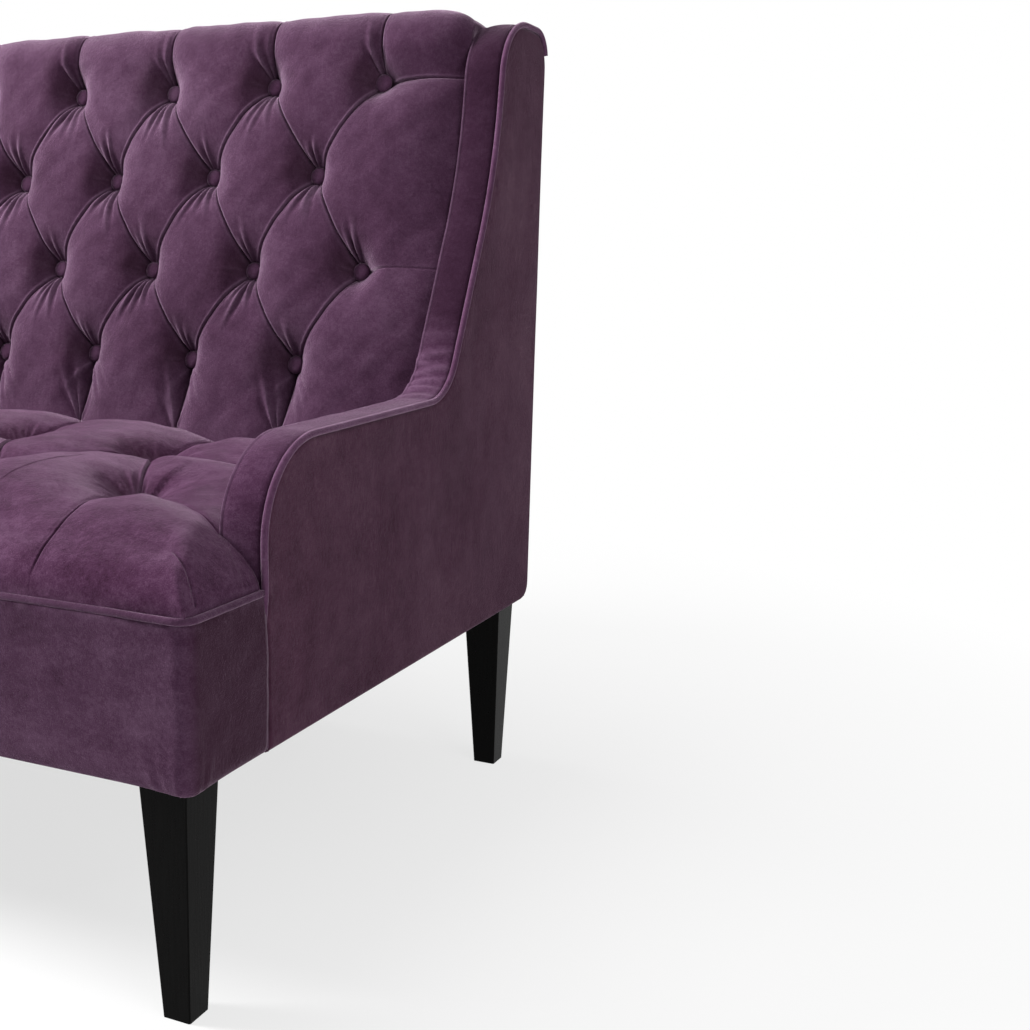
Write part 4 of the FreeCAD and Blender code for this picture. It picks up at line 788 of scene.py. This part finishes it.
def seat_form(across, back):
    """Height of the seat over its tufts, with the distance and strength of the nearest pleat."""
    wide, hand = np.abs(across), np.sign(across)
    x = wide / SEAT_PITCH
    row = (back - SEAT_FRONT_ROW) / SEAT_STEP
    front = through(back, (4, 6, 10, 24, 54, 85, 123, 160, 205), (-41, -30, -17, -3, 10, 23, 33, 38, SEAT_CROWN))
    side = through(SIDE - wide, (4, 6, 12, 30, 52, 80, 110, 150), (-41, -32, -20, 0, 15, 28, 37, SEAT_CROWN))
    rear = through(back, (440, 500, 540, SEAT_END), (SEAT_CROWN, 39, 33, 24))
    crown = soft_least(soft_least(front, side, 7), rear, 4)

    # Diamonds between the rows
    a, b = x + row / 2 + 0.5, x - row / 2 + 0.5
    field = crown * pillowed(a, b, SEAT_PLEAT_RISE)
    fold = nearer((np.round(a) - a) * SEAT_GAP, (b - np.round(b)) * SEAT_GAP)
    strength = np.ones_like(x)

    # Straight pleats to the front edge and to the back
    ahead, shifted = row < 0, x - 0.5
    front_depth = through(back, (4, 24, 60, 100, 150, 200, 235), (1, 2.5, 3.5, 6, 14, 29, SEAT_CROWN))
    rear_depth = through(back, (405, 440, 490, SEAT_END), (SEAT_CROWN, 27, 17, 14))
    for where, beside, depth in ((ahead, shifted, front_depth), (row > 1, x, rear_depth)):
        field = np.where(where, crown - depth * (1 - raised(beside, SEAT_PLEAT_RISE)), field)
        fold = np.where(where, (beside - np.round(beside)) * SEAT_PITCH * hand, fold)

    # The ends, with pleats to the arms and mitred front corners
    outer, past_tuft = wide > SEAT_FRONT_END, wide - SEAT_FRONT_END
    end_pleat = np.where(ahead, front_depth * (1 - half_swell(past_tuft, SEAT_PITCH / 2)), 0)
    field = np.where(outer, crown - end_pleat, field)
    fold = np.where(outer, np.where(ahead, past_tuft * hand, 99), fold)
    for start, end, widths, depths in SIDE_PLEATS:
        share, off, past = beside_line(wide, back, start, end)
        depth = through(share, (0, 0.3, 0.7, 1), depths)
        valley = crown - depth * (1 - half_swell(off, np.where(off < 0, *widths)))
        beyond = wide > start[0]
        field = np.where(beyond, soft_least(field, valley, 3), field)
        closer = beyond & (np.abs(off) < np.abs(fold)) & (np.abs(past) < 0.5)
        fold = np.where(closer, -off, fold)
        strength = np.where(closer, 1 - 0.35 * share, strength)
    share, off, past = beside_line(wide, back, *MITRE)
    mitred = (np.abs(off) < np.abs(fold)) & (np.abs(past) < 0.5) & (np.abs(off) < 14)
    fold = np.where(mitred, off, fold)
    strength = np.where(mitred, 1.7 * (1 - share) ** 0.6 * eased(share / 0.08), strength)
    return field, fold, strength


def seat_rise(across, back):
    """How much higher the seat stands towards the middle of its length."""
    level = 1 - (np.abs(across) / 560) ** 2
    return SEAT_RISE * np.maximum(level, -0.3) * eased((back - 40) / 170)


def seat_shift(across, back):
    """Small unevenness of the tufts, and the lean of the two end pleats towards the front corners."""
    wide = np.abs(across)
    free = eased((SEAT_EDGE - wide) / 120) * eased((back - 60) / 120) * eased((SEAT_END - back) / 60)
    lean = END_PLEAT_LEAN * np.clip(1 - back / SEAT_FRONT_ROW, 0, 1) ** 1.3
    lean = lean * eased((wide - 330) / 200) * eased((752 - wide) / 222) * np.sign(across)
    return (across + lean + 3.5 * free * ripple(across, back, 360, 41),
            back + 3.0 * free * ripple(across, back, 330, 42))


def tufted_seat():
    """The seat with its wadding; returns where its buttons sit and the way they face."""
    spots, faces, tufts = seat_layout()
    across, back = spots.T
    field, fold, strength = seat_form(across, back)
    nearest, aside = around(spots, tufts)
    strength = strength * mixed(0.3, 1, eased((nearest - 6) / 18)) * mixed(0.25, 1, eased((back - 6) / 30))
    lift, _ = folded(fold, 1.35 * strength)
    # A painted highlight along the pleat rims
    _, crest = folded(fold, np.minimum(strength, 1.1) * mixed(0.3, 1, eased((back - 40) / 60)))
    drawn, painted_pucker_highlight = puckers(spots, tufts, SEAT_FANS, 22)
    well = -SEAT_SINK * bell(nearest, 34) - 4.0 * bell(nearest, 10)
    calm = eased((back - 6) / 40) * eased((SIDE - np.abs(across) - 6) / 40)
    uneven = (1.6 * ripple(across, back, 170, 51) + 0.6 * ripple(across, back, 60, 52)) * calm
    height = SEAT_TUFT_Z + field + lift + drawn + well + uneven + seat_rise(across, back)
    moved, moved_back = seat_shift(across, back)
    moved_back = moved_back - 3.2 * bell(height - 416, 13) * eased((60 - back) / 40)
    placed = np.column_stack((moved, moved_back, height))
    faces = turned_out(faces, placed, (0, 0, 1))
    rim = rim_of(faces)
    beneath = np.column_stack((placed[:, :2], np.full(len(placed), SEAT_UNDER)))
    placed, faces, under = turned_under(placed, faces, rim, beneath)
    follows = {int(start): int(end) for start, end in rim}
    loop = [int(rim[0][0])]
    while follows[loop[-1]] != loop[0]:
        loop.append(follows[loop[-1]])
    faces.append([under[spot] for spot in loop][::-1])
    rubbed = np.clip(0.3 + ripple(across, 2.5 * height, 38, 53), 0, 1) * bell(height - 405, 6)
    # Painted shade on the far side of each well from the light
    turned = 0.5 * np.clip(-aside, 0, 1) * bell(nearest, 44)
    cover = make_mesh("tufted_seat", placed, faces, seat_velvet,
                      painted_light_and_wear(0.8 * crest + painted_pucker_highlight + 0.5 * rubbed, turned, under))
    finish_piece(cover, "velvet", "seat_cover", "seat_foam", fill=0.85)
    heads = np.array(tufts).T
    tops = np.column_stack((*seat_shift(*heads), SEAT_TUFT_Z - SEAT_SINK + seat_rise(*heads)))
    return tops, np.tile((0.0, 0.0, 1.0), (len(tufts), 1))


# Arms and wings: corners of the profile as depth, height and rounding
ARM_CORNERS = ((131, BASE_Z, 0), (128, 541, 100), (547, 549, 80), (686, 826, 600), (714, 1015, 80),
               (855, 1014, 34), (854, 976, 0))
REAR_FOOT = (836, BASE_Z)
REAR_TOP = (854, 976)
REAR_SLOPE = 19 / 778
CROOK = (545, 560)
ARM_RUN = rounded_run(ARM_CORNERS)
ARM_OUT = headings(ARM_RUN) @ np.array(((0, 1), (-1, 0)))
ARM_LENGTH = run_length(ARM_RUN)
CROOK_AT = ARM_LENGTH[nearest_on(ARM_RUN, CROOK)]
# Section of the border from the welt to the inner seam: place across, and lift off the profile
BORDER_SECTION = ((752.6, -4.0), (752.2, -1.6), (750.2, 0.0), (746, 1.1), (740, 1.9), (734, 2.3), (728, 2.5),
                  (722, 2.3), (716, 1.7), (711.5, 0.8), (709, -0.1), (707.6, -0.3), (706.4, 0.4), (705.2, 0.5),
                  (704.3, -0.4), (703.9, -1.8), (704.4, -3.4), (705.6, -5.0))
BORDER_SEAM = 705.8
PAD_FOOT_Z = 344.0
PAD_ENDS = (138, 768)


def bend_wrinkles(length, share, seed):
    """Creases across the border where it is drawn round the inside of the bend."""
    draw = np.random.RandomState(seed)
    lift = np.zeros(np.broadcast(length, share).shape)
    for spot in np.linspace(-56, 92, 11):
        middle = CROOK_AT + spot + draw.uniform(-6, 6) + draw.uniform(-26, 26) * (share - 0.5)
        width = draw.uniform(2.8, 4.6)
        height = draw.uniform(2.0, 4.4) * math.exp(-((spot - 16) / 58) ** 2)
        lift = lift + height * bell(length - middle, width) * np.sin(math.pi * share) ** 0.6
    return lift


def arm_border(hand, sign):
    """The border over the front and top of an arm and wing, with a painted highlight, also standing for wear, on top,
    and painted shade up the wing.
    """
    across, rise = np.array(BORDER_SECTION).T
    share = np.linspace(0, 1, len(across))
    length = ARM_LENGTH[:, None]
    wrinkles = bend_wrinkles(length, share, 61)
    waves = 0.5 * ripple(length, across, 90, 62)
    lift = rise + (wrinkles + waves) * np.sin(math.pi * share) ** 0.5
    points = across_at(sign * across, ARM_RUN[:, None] + ARM_OUT[:, None] * lift[..., None])
    # Painted highlight on the upward-facing top, which also stands for wear, and on the wrinkle crests and the seam's
    # ridge
    painted_top_highlight_and_wear = 0.1 * eased((ARM_OUT[:, 1:] - 0.8) / 0.15) * (ARM_RUN[:, :1] < 560)
    crest = np.clip(wrinkles / 5 + 0.8 * bell(across - BORDER_SEAM, 1.2) + painted_top_highlight_and_wear, 0, 1)
    # Painted shade, darker up the wing
    turned = np.broadcast_to(0.66 * eased((length - CROOK_AT - 5) / 110), lift.shape)
    cloth_cover(f"{hand}_arm_border_cover", points, (0, -1, 1), arm_velvet, 1.6, f"{hand}_arm_border", 0.7,
                crest=crest, turned_nap=turned)


def ruled_panel(upper, lower, across, sign, bulge, edge, rows, seed, waves):
    """A flat panel stretched between two runs, puffed in the middle and turned in at its edges."""
    share = gathered(rows)
    places = mixed(upper[:, None], lower[:, None], share[:, None])
    rim = np.minimum(share, 1 - share) * np.hypot(*(upper - lower).T)[:, None]
    number = np.arange(len(upper))[:, None]
    inset = np.minimum(rim, np.minimum(number, number[::-1]) * RUN_STEP)
    puff = bulge * (1 - np.exp(-inset / 45)) - edge * bell(inset, 2.5)
    depth, height = places[..., 0], places[..., 1]
    cloth = waves * ripple(depth, height, 210, seed) + 0.3 * waves * ripple(depth, height, 70, seed + 1)
    return across_at(sign * (across + puff + cloth * eased(inset / 30)), places)


def inside_arm(hand, sign):
    upper = ARM_RUN - ARM_OUT * 3.0
    upper = upper[upper[:, 1] > PAD_FOOT_Z - 2]
    foot = np.column_stack((np.linspace(*PAD_ENDS, len(upper)), np.full(len(upper), PAD_FOOT_Z)))
    points = ruled_panel(upper, foot, -ARM_INNER, -sign, 2.6, 1.5, 40, 71, 0.9)
    cloth_cover(f"{hand}_inside_arm_cover", points, (-sign, 0, 0), arm_velvet, 1.6, f"{hand}_inside_arm", 0.5)


def outside_arm(hand, sign):
    upper = ARM_RUN - ARM_OUT * 3.2
    turn = nearest_on(ARM_RUN, CROOK)
    base = rounded_run((ARM_CORNERS[0], (*REAR_FOOT, 20), (*REAR_TOP, 0)), 3.0)
    corner = nearest_on(base, (REAR_FOOT[0] - 6, REAR_FOOT[1] + 6))
    lower = np.concatenate((evened(base[:corner + 1], turn + 1), evened(base[corner:], len(upper) - turn)[1:]))
    points = ruled_panel(upper, lower, SIDE, sign, 0.9, 3.2, 46, 81, 0.8)
    cloth_cover(f"{hand}_outside_arm_cover", points, (sign, 0, 0), panel_velvet, 1.4, f"{hand}_outside_arm")


# Base band, outside back and the cloth beneath
BAND_TOP = 398
FRONT_STEP = 4.0
REAR_BAND_SECTION = ((836, 1008), (843, 1011.4), (849, 1011.8), (853.4, 1009.8), (856.6, 1005.6), (858.4, 1000),
                     (859, 993), (858.8, 987), (858.6, 979), (857.8, 974.6), (856, 973.2), (853.5, 973.8),
                     (852.5, 977))
REAR_BAND_END = 754
WING_TOP = (821, 980)
WING_TOP_RADIUS = 33.4
DUST_CLOTH = (1.485, 0.816)
DUST_FRONT = 14
DUST_LEVELS = (239.4, 240.6)


def front_run(half, front, end, rounding):
    """The run round the front of the settee from one arm to the other."""
    corners = ((-half, end, 0), (-half, front, rounding), (half, front, rounding), (half, end, 0))
    return rounded_run(corners, FRONT_STEP)


def seat_band():
    """The padded band round the front of the base, turned under at its foot."""
    run = front_run(SIDE, 0, 129, 16)
    out = headings(run) @ np.array(((0, -1), (1, 0)))
    wall = np.concatenate((np.linspace(BAND_TOP, 386, 5), np.linspace(378, 252, 22)))
    height = np.concatenate((wall, (247, 243, 240, 238, 237, 237, 237.5)))
    lift = through(-wall, (-BAND_TOP, -394, -380, -320, -260, -252), (-1.6, 0.2, 1.0, 2.2, 1.2, 0.6))
    lift = np.concatenate((lift, (0.2, -0.6, -1.8, -3.4, -6.0, -11.0, -18.0)))
    corner = bell(SIDE - np.abs(run[:, :1]) + run[:, 1:], 40)
    level = np.linspace(0, 1, len(height))
    length = np.arange(len(run))[:, None] * FRONT_STEP
    cloth = 1.1 * ripple(length, height, 240, 91) + 0.35 * ripple(length, height, 60, 92)
    puff = lift + cloth * np.sin(math.pi * np.clip(level * 1.15, 0, 1)) - corner * level
    foot = eased((292 - height) / 44) * np.where(height > 239, 1, 0.4)
    draw = np.random.RandomState(93)
    for hand in HANDS.values():
        turn = length[nearest_on(run, (hand * SIDE, 0)), 0]
        for spot in (-34, -22, -12, 9, 20):
            middle = turn + hand * spot + draw.uniform(-2, 2) + 0.12 * hand * spot * (height - BASE_Z) / 10
            puff = puff + draw.uniform(0.9, 1.8) * bell(length - middle, 3.4) * foot
    places = run[:, None] + out[:, None] * puff[..., None]
    tall = height - 3.0 * corner * eased((300 - height) / 60)
    # Painted shade on the band's side returns
    turned = np.broadcast_to(0.55 * eased((run[:, 1:] - 1) / 16), tall.shape)
    rubbed = 0.5 * np.clip(0.3 + ripple(length, 2.5 * height, 34, 94), 0, 1) * bell(BAND_TOP - height, 7)
    cloth_cover("seat_band_cover", np.concatenate((places, tall[..., None]), -1), (0, -1, 0), band_velvet, 1.6,
                "seat_border", 0.6, crest=rubbed, turned_nap=turned)


def rear_panel():
    """The outside back, drawn flat with a little spring in the middle."""
    x, z = np.meshgrid(np.linspace(-752, 752, 151), np.linspace(BASE_Z + 0.5, REAR_TOP[1], 76))
    rear = REAR_FOOT[0] + REAR_SLOPE * (z - BASE_Z)
    inset = np.minimum(np.minimum(752.5 - np.abs(x), z - BASE_Z), 990 - z)
    out = 1.6 * (1 - np.exp(-inset / 60)) - 3 * bell(inset, 4) + 0.8 * ripple(x, z, 260, 95) * eased(inset / 40)
    cloth_cover("outside_back_cover", np.stack((x, rear + out, z), -1), (0, 1, 0), panel_velvet, 1.4, "outside_back")


def rear_band():
    """The cloth turned over the top of the rear, round the wings, and tacked down in a band."""
    section = np.array(REAR_BAND_SECTION)
    across = np.linspace(-REAR_BAND_END, REAR_BAND_END, 378)
    swing = np.radians(np.linspace(88, 4, 9))
    radius = WING_TOP_RADIUS + 3.2 * eased(np.linspace(0, 2, 9))
    over_wing = np.column_stack((WING_TOP[0] + radius * np.cos(swing), WING_TOP[1] + radius * np.sin(swing)))
    over_wing = np.concatenate((over_wing, section[9:]))
    places = mixed(section, over_wing, eased((np.abs(across) - 697) / 12)[:, None, None])
    across = across[:, None]
    level = np.arange(len(section))
    places[..., 0] += 0.6 * ripple(across, 40.0 * level, 150, 96) * (level > 4)
    places[..., 1] += 0.8 * ripple(across, 10.0 * level, 110, 97) * (level > 7)
    places[..., 0] -= 3.5 * (1 - eased((REAR_BAND_END - np.abs(across)) / 4))
    cloth_cover("rear_band_cover", across_at(across, places), (0, 1, 0.3), panel_velvet, 1.2, "back_top_band")


def dust_cloth():
    """Thin black cloth stretched under the frame, a little slack between the rails."""
    half, rear = 500 * DUST_CLOTH[0], DUST_FRONT + 1000 * DUST_CLOTH[1]
    x, y = np.meshgrid(np.linspace(-half, half, 100), np.linspace(DUST_FRONT, rear, 56))
    inset = np.minimum(half - np.abs(x), np.minimum(y - DUST_FRONT, rear - y))
    sag = 3.0 * (1 - np.exp(-inset / 120)) + 0.7 * ripple(x, y, 180, 98) * eased(inset / 60)
    layers = [np.stack((x, y, level - sag), -1).reshape(-1, 3) for level in DUST_LEVELS]
    lower = turned_out(grid_faces(*x.shape), layers[0], (0, 0, -1))
    upper = lower[:, ::-1] + x.size
    sides = [(end, start, start + x.size, end + x.size) for start, end in rim_of(lower)]
    cloth = make_mesh("dust_cloth", np.concatenate(layers), [*lower, *upper, *sides], dust_weave)
    finish_piece(cloth, "dust_cloth", "dust_cover")


# What repeats or follows a path is made by node trees


def shape_tree(name, sizes):
    """An empty tree with named sizes, and its input and output nodes."""
    tree = bpy.data.node_groups.new(name, "GeometryNodeTree")
    tree.is_modifier = True
    tree.interface.new_socket("Geometry", in_out="INPUT", socket_type="NodeSocketGeometry")
    for label, size in sizes.items():
        socket = tree.interface.new_socket(label, in_out="INPUT", socket_type="NodeSocketFloat")
        socket.default_value = size
    tree.interface.new_socket("Geometry", in_out="OUTPUT", socket_type="NodeSocketGeometry")
    return tree, tree.nodes.new("NodeGroupInput").outputs, tree.nodes.new("NodeGroupOutput")


def ends_in(tree, output, shape, material):
    realized = add_node(tree, "GeometryNodeRealizeInstances", Geometry=shape)
    smooth = add_node(tree, "GeometryNodeSetShadeSmooth", Geometry=realized)
    painted = add_node(tree, "GeometryNodeSetMaterial", Geometry=smooth, Material=material)
    feed(tree, output.inputs["Geometry"], painted)


def cord_tree(name, material):
    """A cord along the edges of a path."""
    tree, given, output = shape_tree(name, {"Cord Radius": WELT_RADIUS / 1000})
    path = add_node(tree, "GeometryNodeMeshToCurve", Mesh=given["Geometry"])
    ring = add_node(tree, "GeometryNodeCurvePrimitiveCircle", Resolution=12, Radius=given["Cord Radius"])
    tube = add_node(tree, "GeometryNodeCurveToMesh", Curve=path, Profile_Curve=ring, Fill_Caps=True)
    ends_in(tree, output, tube, material)
    return tree


def button_tree():
    """A domed covered button on each point, facing the way its tuft does."""
    tree, given, output = shape_tree("covered_button", {"Button Radius": 0.0122, "Dome": 0.40})
    add = partial(add_node, tree)
    # A ball, spread towards its rim into a puck
    ball = add("GeometryNodeMeshUVSphere", Segments=32, Rings=16, Radius=1.0)
    place = add("GeometryNodeInputPosition")
    spot = add("ShaderNodeSeparateXYZ", Vector=place).outputs
    flat = add("ShaderNodeCombineXYZ", X=spot["X"], Y=spot["Y"])
    outer = add("ShaderNodeVectorMath", {"operation": "LENGTH"}, flat)
    spread = add("ShaderNodeMath", {"operation": "POWER"}, outer, -0.32)
    spread = add("ShaderNodeMath", {"operation": "MINIMUM"}, spread, 3.0)
    wider = add("ShaderNodeCombineXYZ", X=spread, Y=spread, Z=1.0)
    moved = add("ShaderNodeVectorMath", {"operation": "MULTIPLY"}, place, wider)
    puck = add("GeometryNodeSetPosition", Geometry=ball, Position=moved)
    # Flattened to its dome and set on the points
    squash = add("ShaderNodeCombineXYZ", X=1.0, Y=1.0, Z=given["Dome"])
    sized = add("ShaderNodeVectorMath", {"operation": "SCALE"}, Vector=squash, Scale=given["Button Radius"])
    domed = add("GeometryNodeTransform", Geometry=puck, Scale=sized)
    facing = add("GeometryNodeInputNamedAttribute", {"data_type": "FLOAT_VECTOR"}, Name="facing")
    turned = add("FunctionNodeAlignRotationToVector", {"axis": "Z"}, Vector=facing)
    buttoned = add("GeometryNodeInstanceOnPoints", Points=given["Geometry"], Instance=domed, Rotation=turned)
    ends_in(tree, output, buttoned, button_velvet_painted_highlight)
    return tree


def grown(name, points, edges, tree, **vectors):
    """The plain mesh that a node tree makes from points and edges."""
    mesh = bpy.data.meshes.new(name)
    mesh.from_pydata(in_frame(points).tolist(), edges, [])
    for label, values in vectors.items():
        values = np.ravel(values).astype(np.float32)
        mesh.attributes.new(label, "FLOAT_VECTOR", "POINT").data.foreach_set("vector", values)
    thing = in_scene(name, mesh)
    thing.modifiers.new("shape", "NODES").node_group = tree
    view = bpy.context.evaluated_depsgraph_get()
    view.update()
    made = bpy.data.meshes.new_from_object(thing.evaluated_get(view), depsgraph=view)
    thing.modifiers.clear()
    thing.data = made
    return thing


# How far the middles of the buttons stand out of their tufts
BUTTON_PROUD = {"back": 8.0, "seat": 1.5}
arm_welt_shape = cord_tree("arm_welt_cord", welt_velvet)
seat_welt_shape = cord_tree("seat_welt_cord", seat_welt_velvet)
button_shape = button_tree()


def piping(name, points, shape, node):
    edges = [(number, number + 1) for number in range(len(points) - 1)]
    finish_piece(grown(name, points, edges, shape), "welt_velvet", node)


def arm_welt(hand, sign):
    sunk = 4.2 * eased((WELT_Z + 10 - ARM_RUN[:, 1]) / 60)
    points = np.column_stack((sign * (WELT_X - sunk), ARM_RUN))[1:-2]
    piping(f"{hand}_arm_piping", points, arm_welt_shape, f"{hand}_arm_welt")


def seat_welt():
    """The welt round the front of the seat, drawn in along the front."""
    run = front_run(WELT_X, 0.25, 124, 15.75)
    run[:, 1] += 2.8 * eased((WELT_X - 40 - np.abs(run[:, 0])) / 60)
    piping("seat_piping", np.column_stack((run, np.full(len(run), WELT_Z))), seat_welt_shape, "seat_welt")


def buttons(part, spots, facings):
    heads = grown(f"{part}_button_covers", spots + facings * BUTTON_PROUD[part], [], button_shape, facing=facings)
    finish_piece(heads, "velvet", f"{part}_buttons")


# Assembly of the looks
back_tufts = tufted_back()
seat_tufts = tufted_seat()
for hand, sign in HANDS.items():
    arm_border(hand, sign)
    inside_arm(hand, sign)
    outside_arm(hand, sign)
    arm_welt(hand, sign)
seat_band()
rear_panel()
rear_band()
dust_cloth()
seat_welt()
buttons("back", *back_tufts)
buttons("seat", *seat_tufts)

# The frame's own solids; the covers above stand in for the foam and all the cloth
CAD_FINISHES = {
    "black_wood": black_wood,
    "frame_timber": frame_timber,
    "foam": frame_timber,
    "webbing": webbing_weave,
    "dust_cloth": dust_weave,
    "steel": bolt_steel,
    "velvet": panel_velvet,
    "welt_velvet": welt_velvet,
}
for row in frame["record"]["subparts"]:
    node = frame["nodes"][row["node"]]
    node.data.materials.clear()
    node.data.materials.append(CAD_FINISHES[row["material_slot"]])

# Stage: pale floor, soft light and the photograph's viewing angle, in metres
FLOOR_HALF = 14.0
WORLD_LIGHT = 0.12
CAMERA_SPOT = (1.42631, -1.35982, 0.71406)
CAMERA_TURN = (0.4511, 0.1883, 0.0073)
CAMERA_LENS = 46.863
CAMERA_SHIFT = 0.1


def stage_floor():
    """A pale floor that keeps the shadow close by and is plain white further off."""
    finish = Finish("studio_floor")
    colour = finish.ramp(finish.noise(3.0, 2), [(0.3, (0.78, 0.78, 0.78)), (0.7, (0.82, 0.82, 0.82))])
    finish.set(Base_Color=colour, Roughness=0.9, Specular_IOR_Level=0.1)
    glow = finish.add("ShaderNodeEmission", Color=(1, 1, 1, 1), Strength=1.0)
    away = finish.add("ShaderNodeVectorMath", {"operation": "LENGTH"}, finish.place)
    far = finish.span(away, 0.5, 2.0, 0.7, 1.0)
    share = finish.maths("MULTIPLY", far, seen_directly(finish.tree))
    both = finish.add("ShaderNodeMixShader", None, share, finish.shader, glow)
    feed(finish.tree, finish.tree.nodes["Material Output"].inputs["Surface"], both)
    mesh = bpy.data.meshes.new("studio_floor")
    corners = [(x * FLOOR_HALF, y * FLOOR_HALF, 0) for x, y in ((-1, -1), (1, -1), (1, 1), (-1, 1))]
    mesh.from_pydata(corners, [], [(0, 1, 2, 3)])
    mesh.materials.append(finish.material)
    in_scene("studio_floor", mesh)


def stage_light(name, spot, target, size, power):
    lamp = bpy.data.lights.new(name, "AREA")
    lamp.shape = "DISK"
    lamp.size = size
    lamp.energy = power
    thing = in_scene(name, lamp)
    thing.location = spot
    thing.rotation_euler = (Vector(target) - Vector(spot)).to_track_quat("-Z", "Y").to_euler()


def stage_world():
    """A world that looks white and lights the settee softly."""
    world = bpy.data.worlds.new("studio")
    scene.world = world
    world.use_nodes = True
    tree = world.node_tree
    strength = add_node(tree, "ShaderNodeMapRange", Value=seen_directly(tree), To_Min=WORLD_LIGHT, To_Max=1.0)
    background = tree.nodes["Background"].inputs
    feed(tree, background["Color"], (1, 1, 1, 1))
    feed(tree, background["Strength"], strength)


def stage_camera():
    """The viewing angle of the photograph: from the front right, looking a little down."""
    yaw, pitch, roll = CAMERA_TURN
    turns = ((yaw, "Z"), (math.pi / 2 - pitch, "X"), (roll, "Z"))
    first, second, third = (Matrix.Rotation(angle, 4, axis) for angle, axis in turns)
    data = bpy.data.cameras.new("camera")
    data.sensor_width = 36
    data.lens = CAMERA_LENS
    data.shift_x = CAMERA_SHIFT
    data.clip_start, data.clip_end = 0.05, 60
    camera = in_scene("camera", data)
    camera.matrix_world = Matrix.Translation(CAMERA_SPOT) @ first @ second @ third
    scene.camera = camera


stage_floor()
stage_world()
stage_light("key", (-2.6, -1.15, 2.35), (0.1, 0.1, 0.6), 1.2, 285)
stage_light("fill", (3.2, -1.2, 1.3), (0.4, 0, 0.5), 2.0, 34)
stage_light("top", (-0.4, 0.0, 3.2), (0, 0, 0.5), 2.0, 72)
stage_camera()
scene.view_settings.view_transform = "Standard"
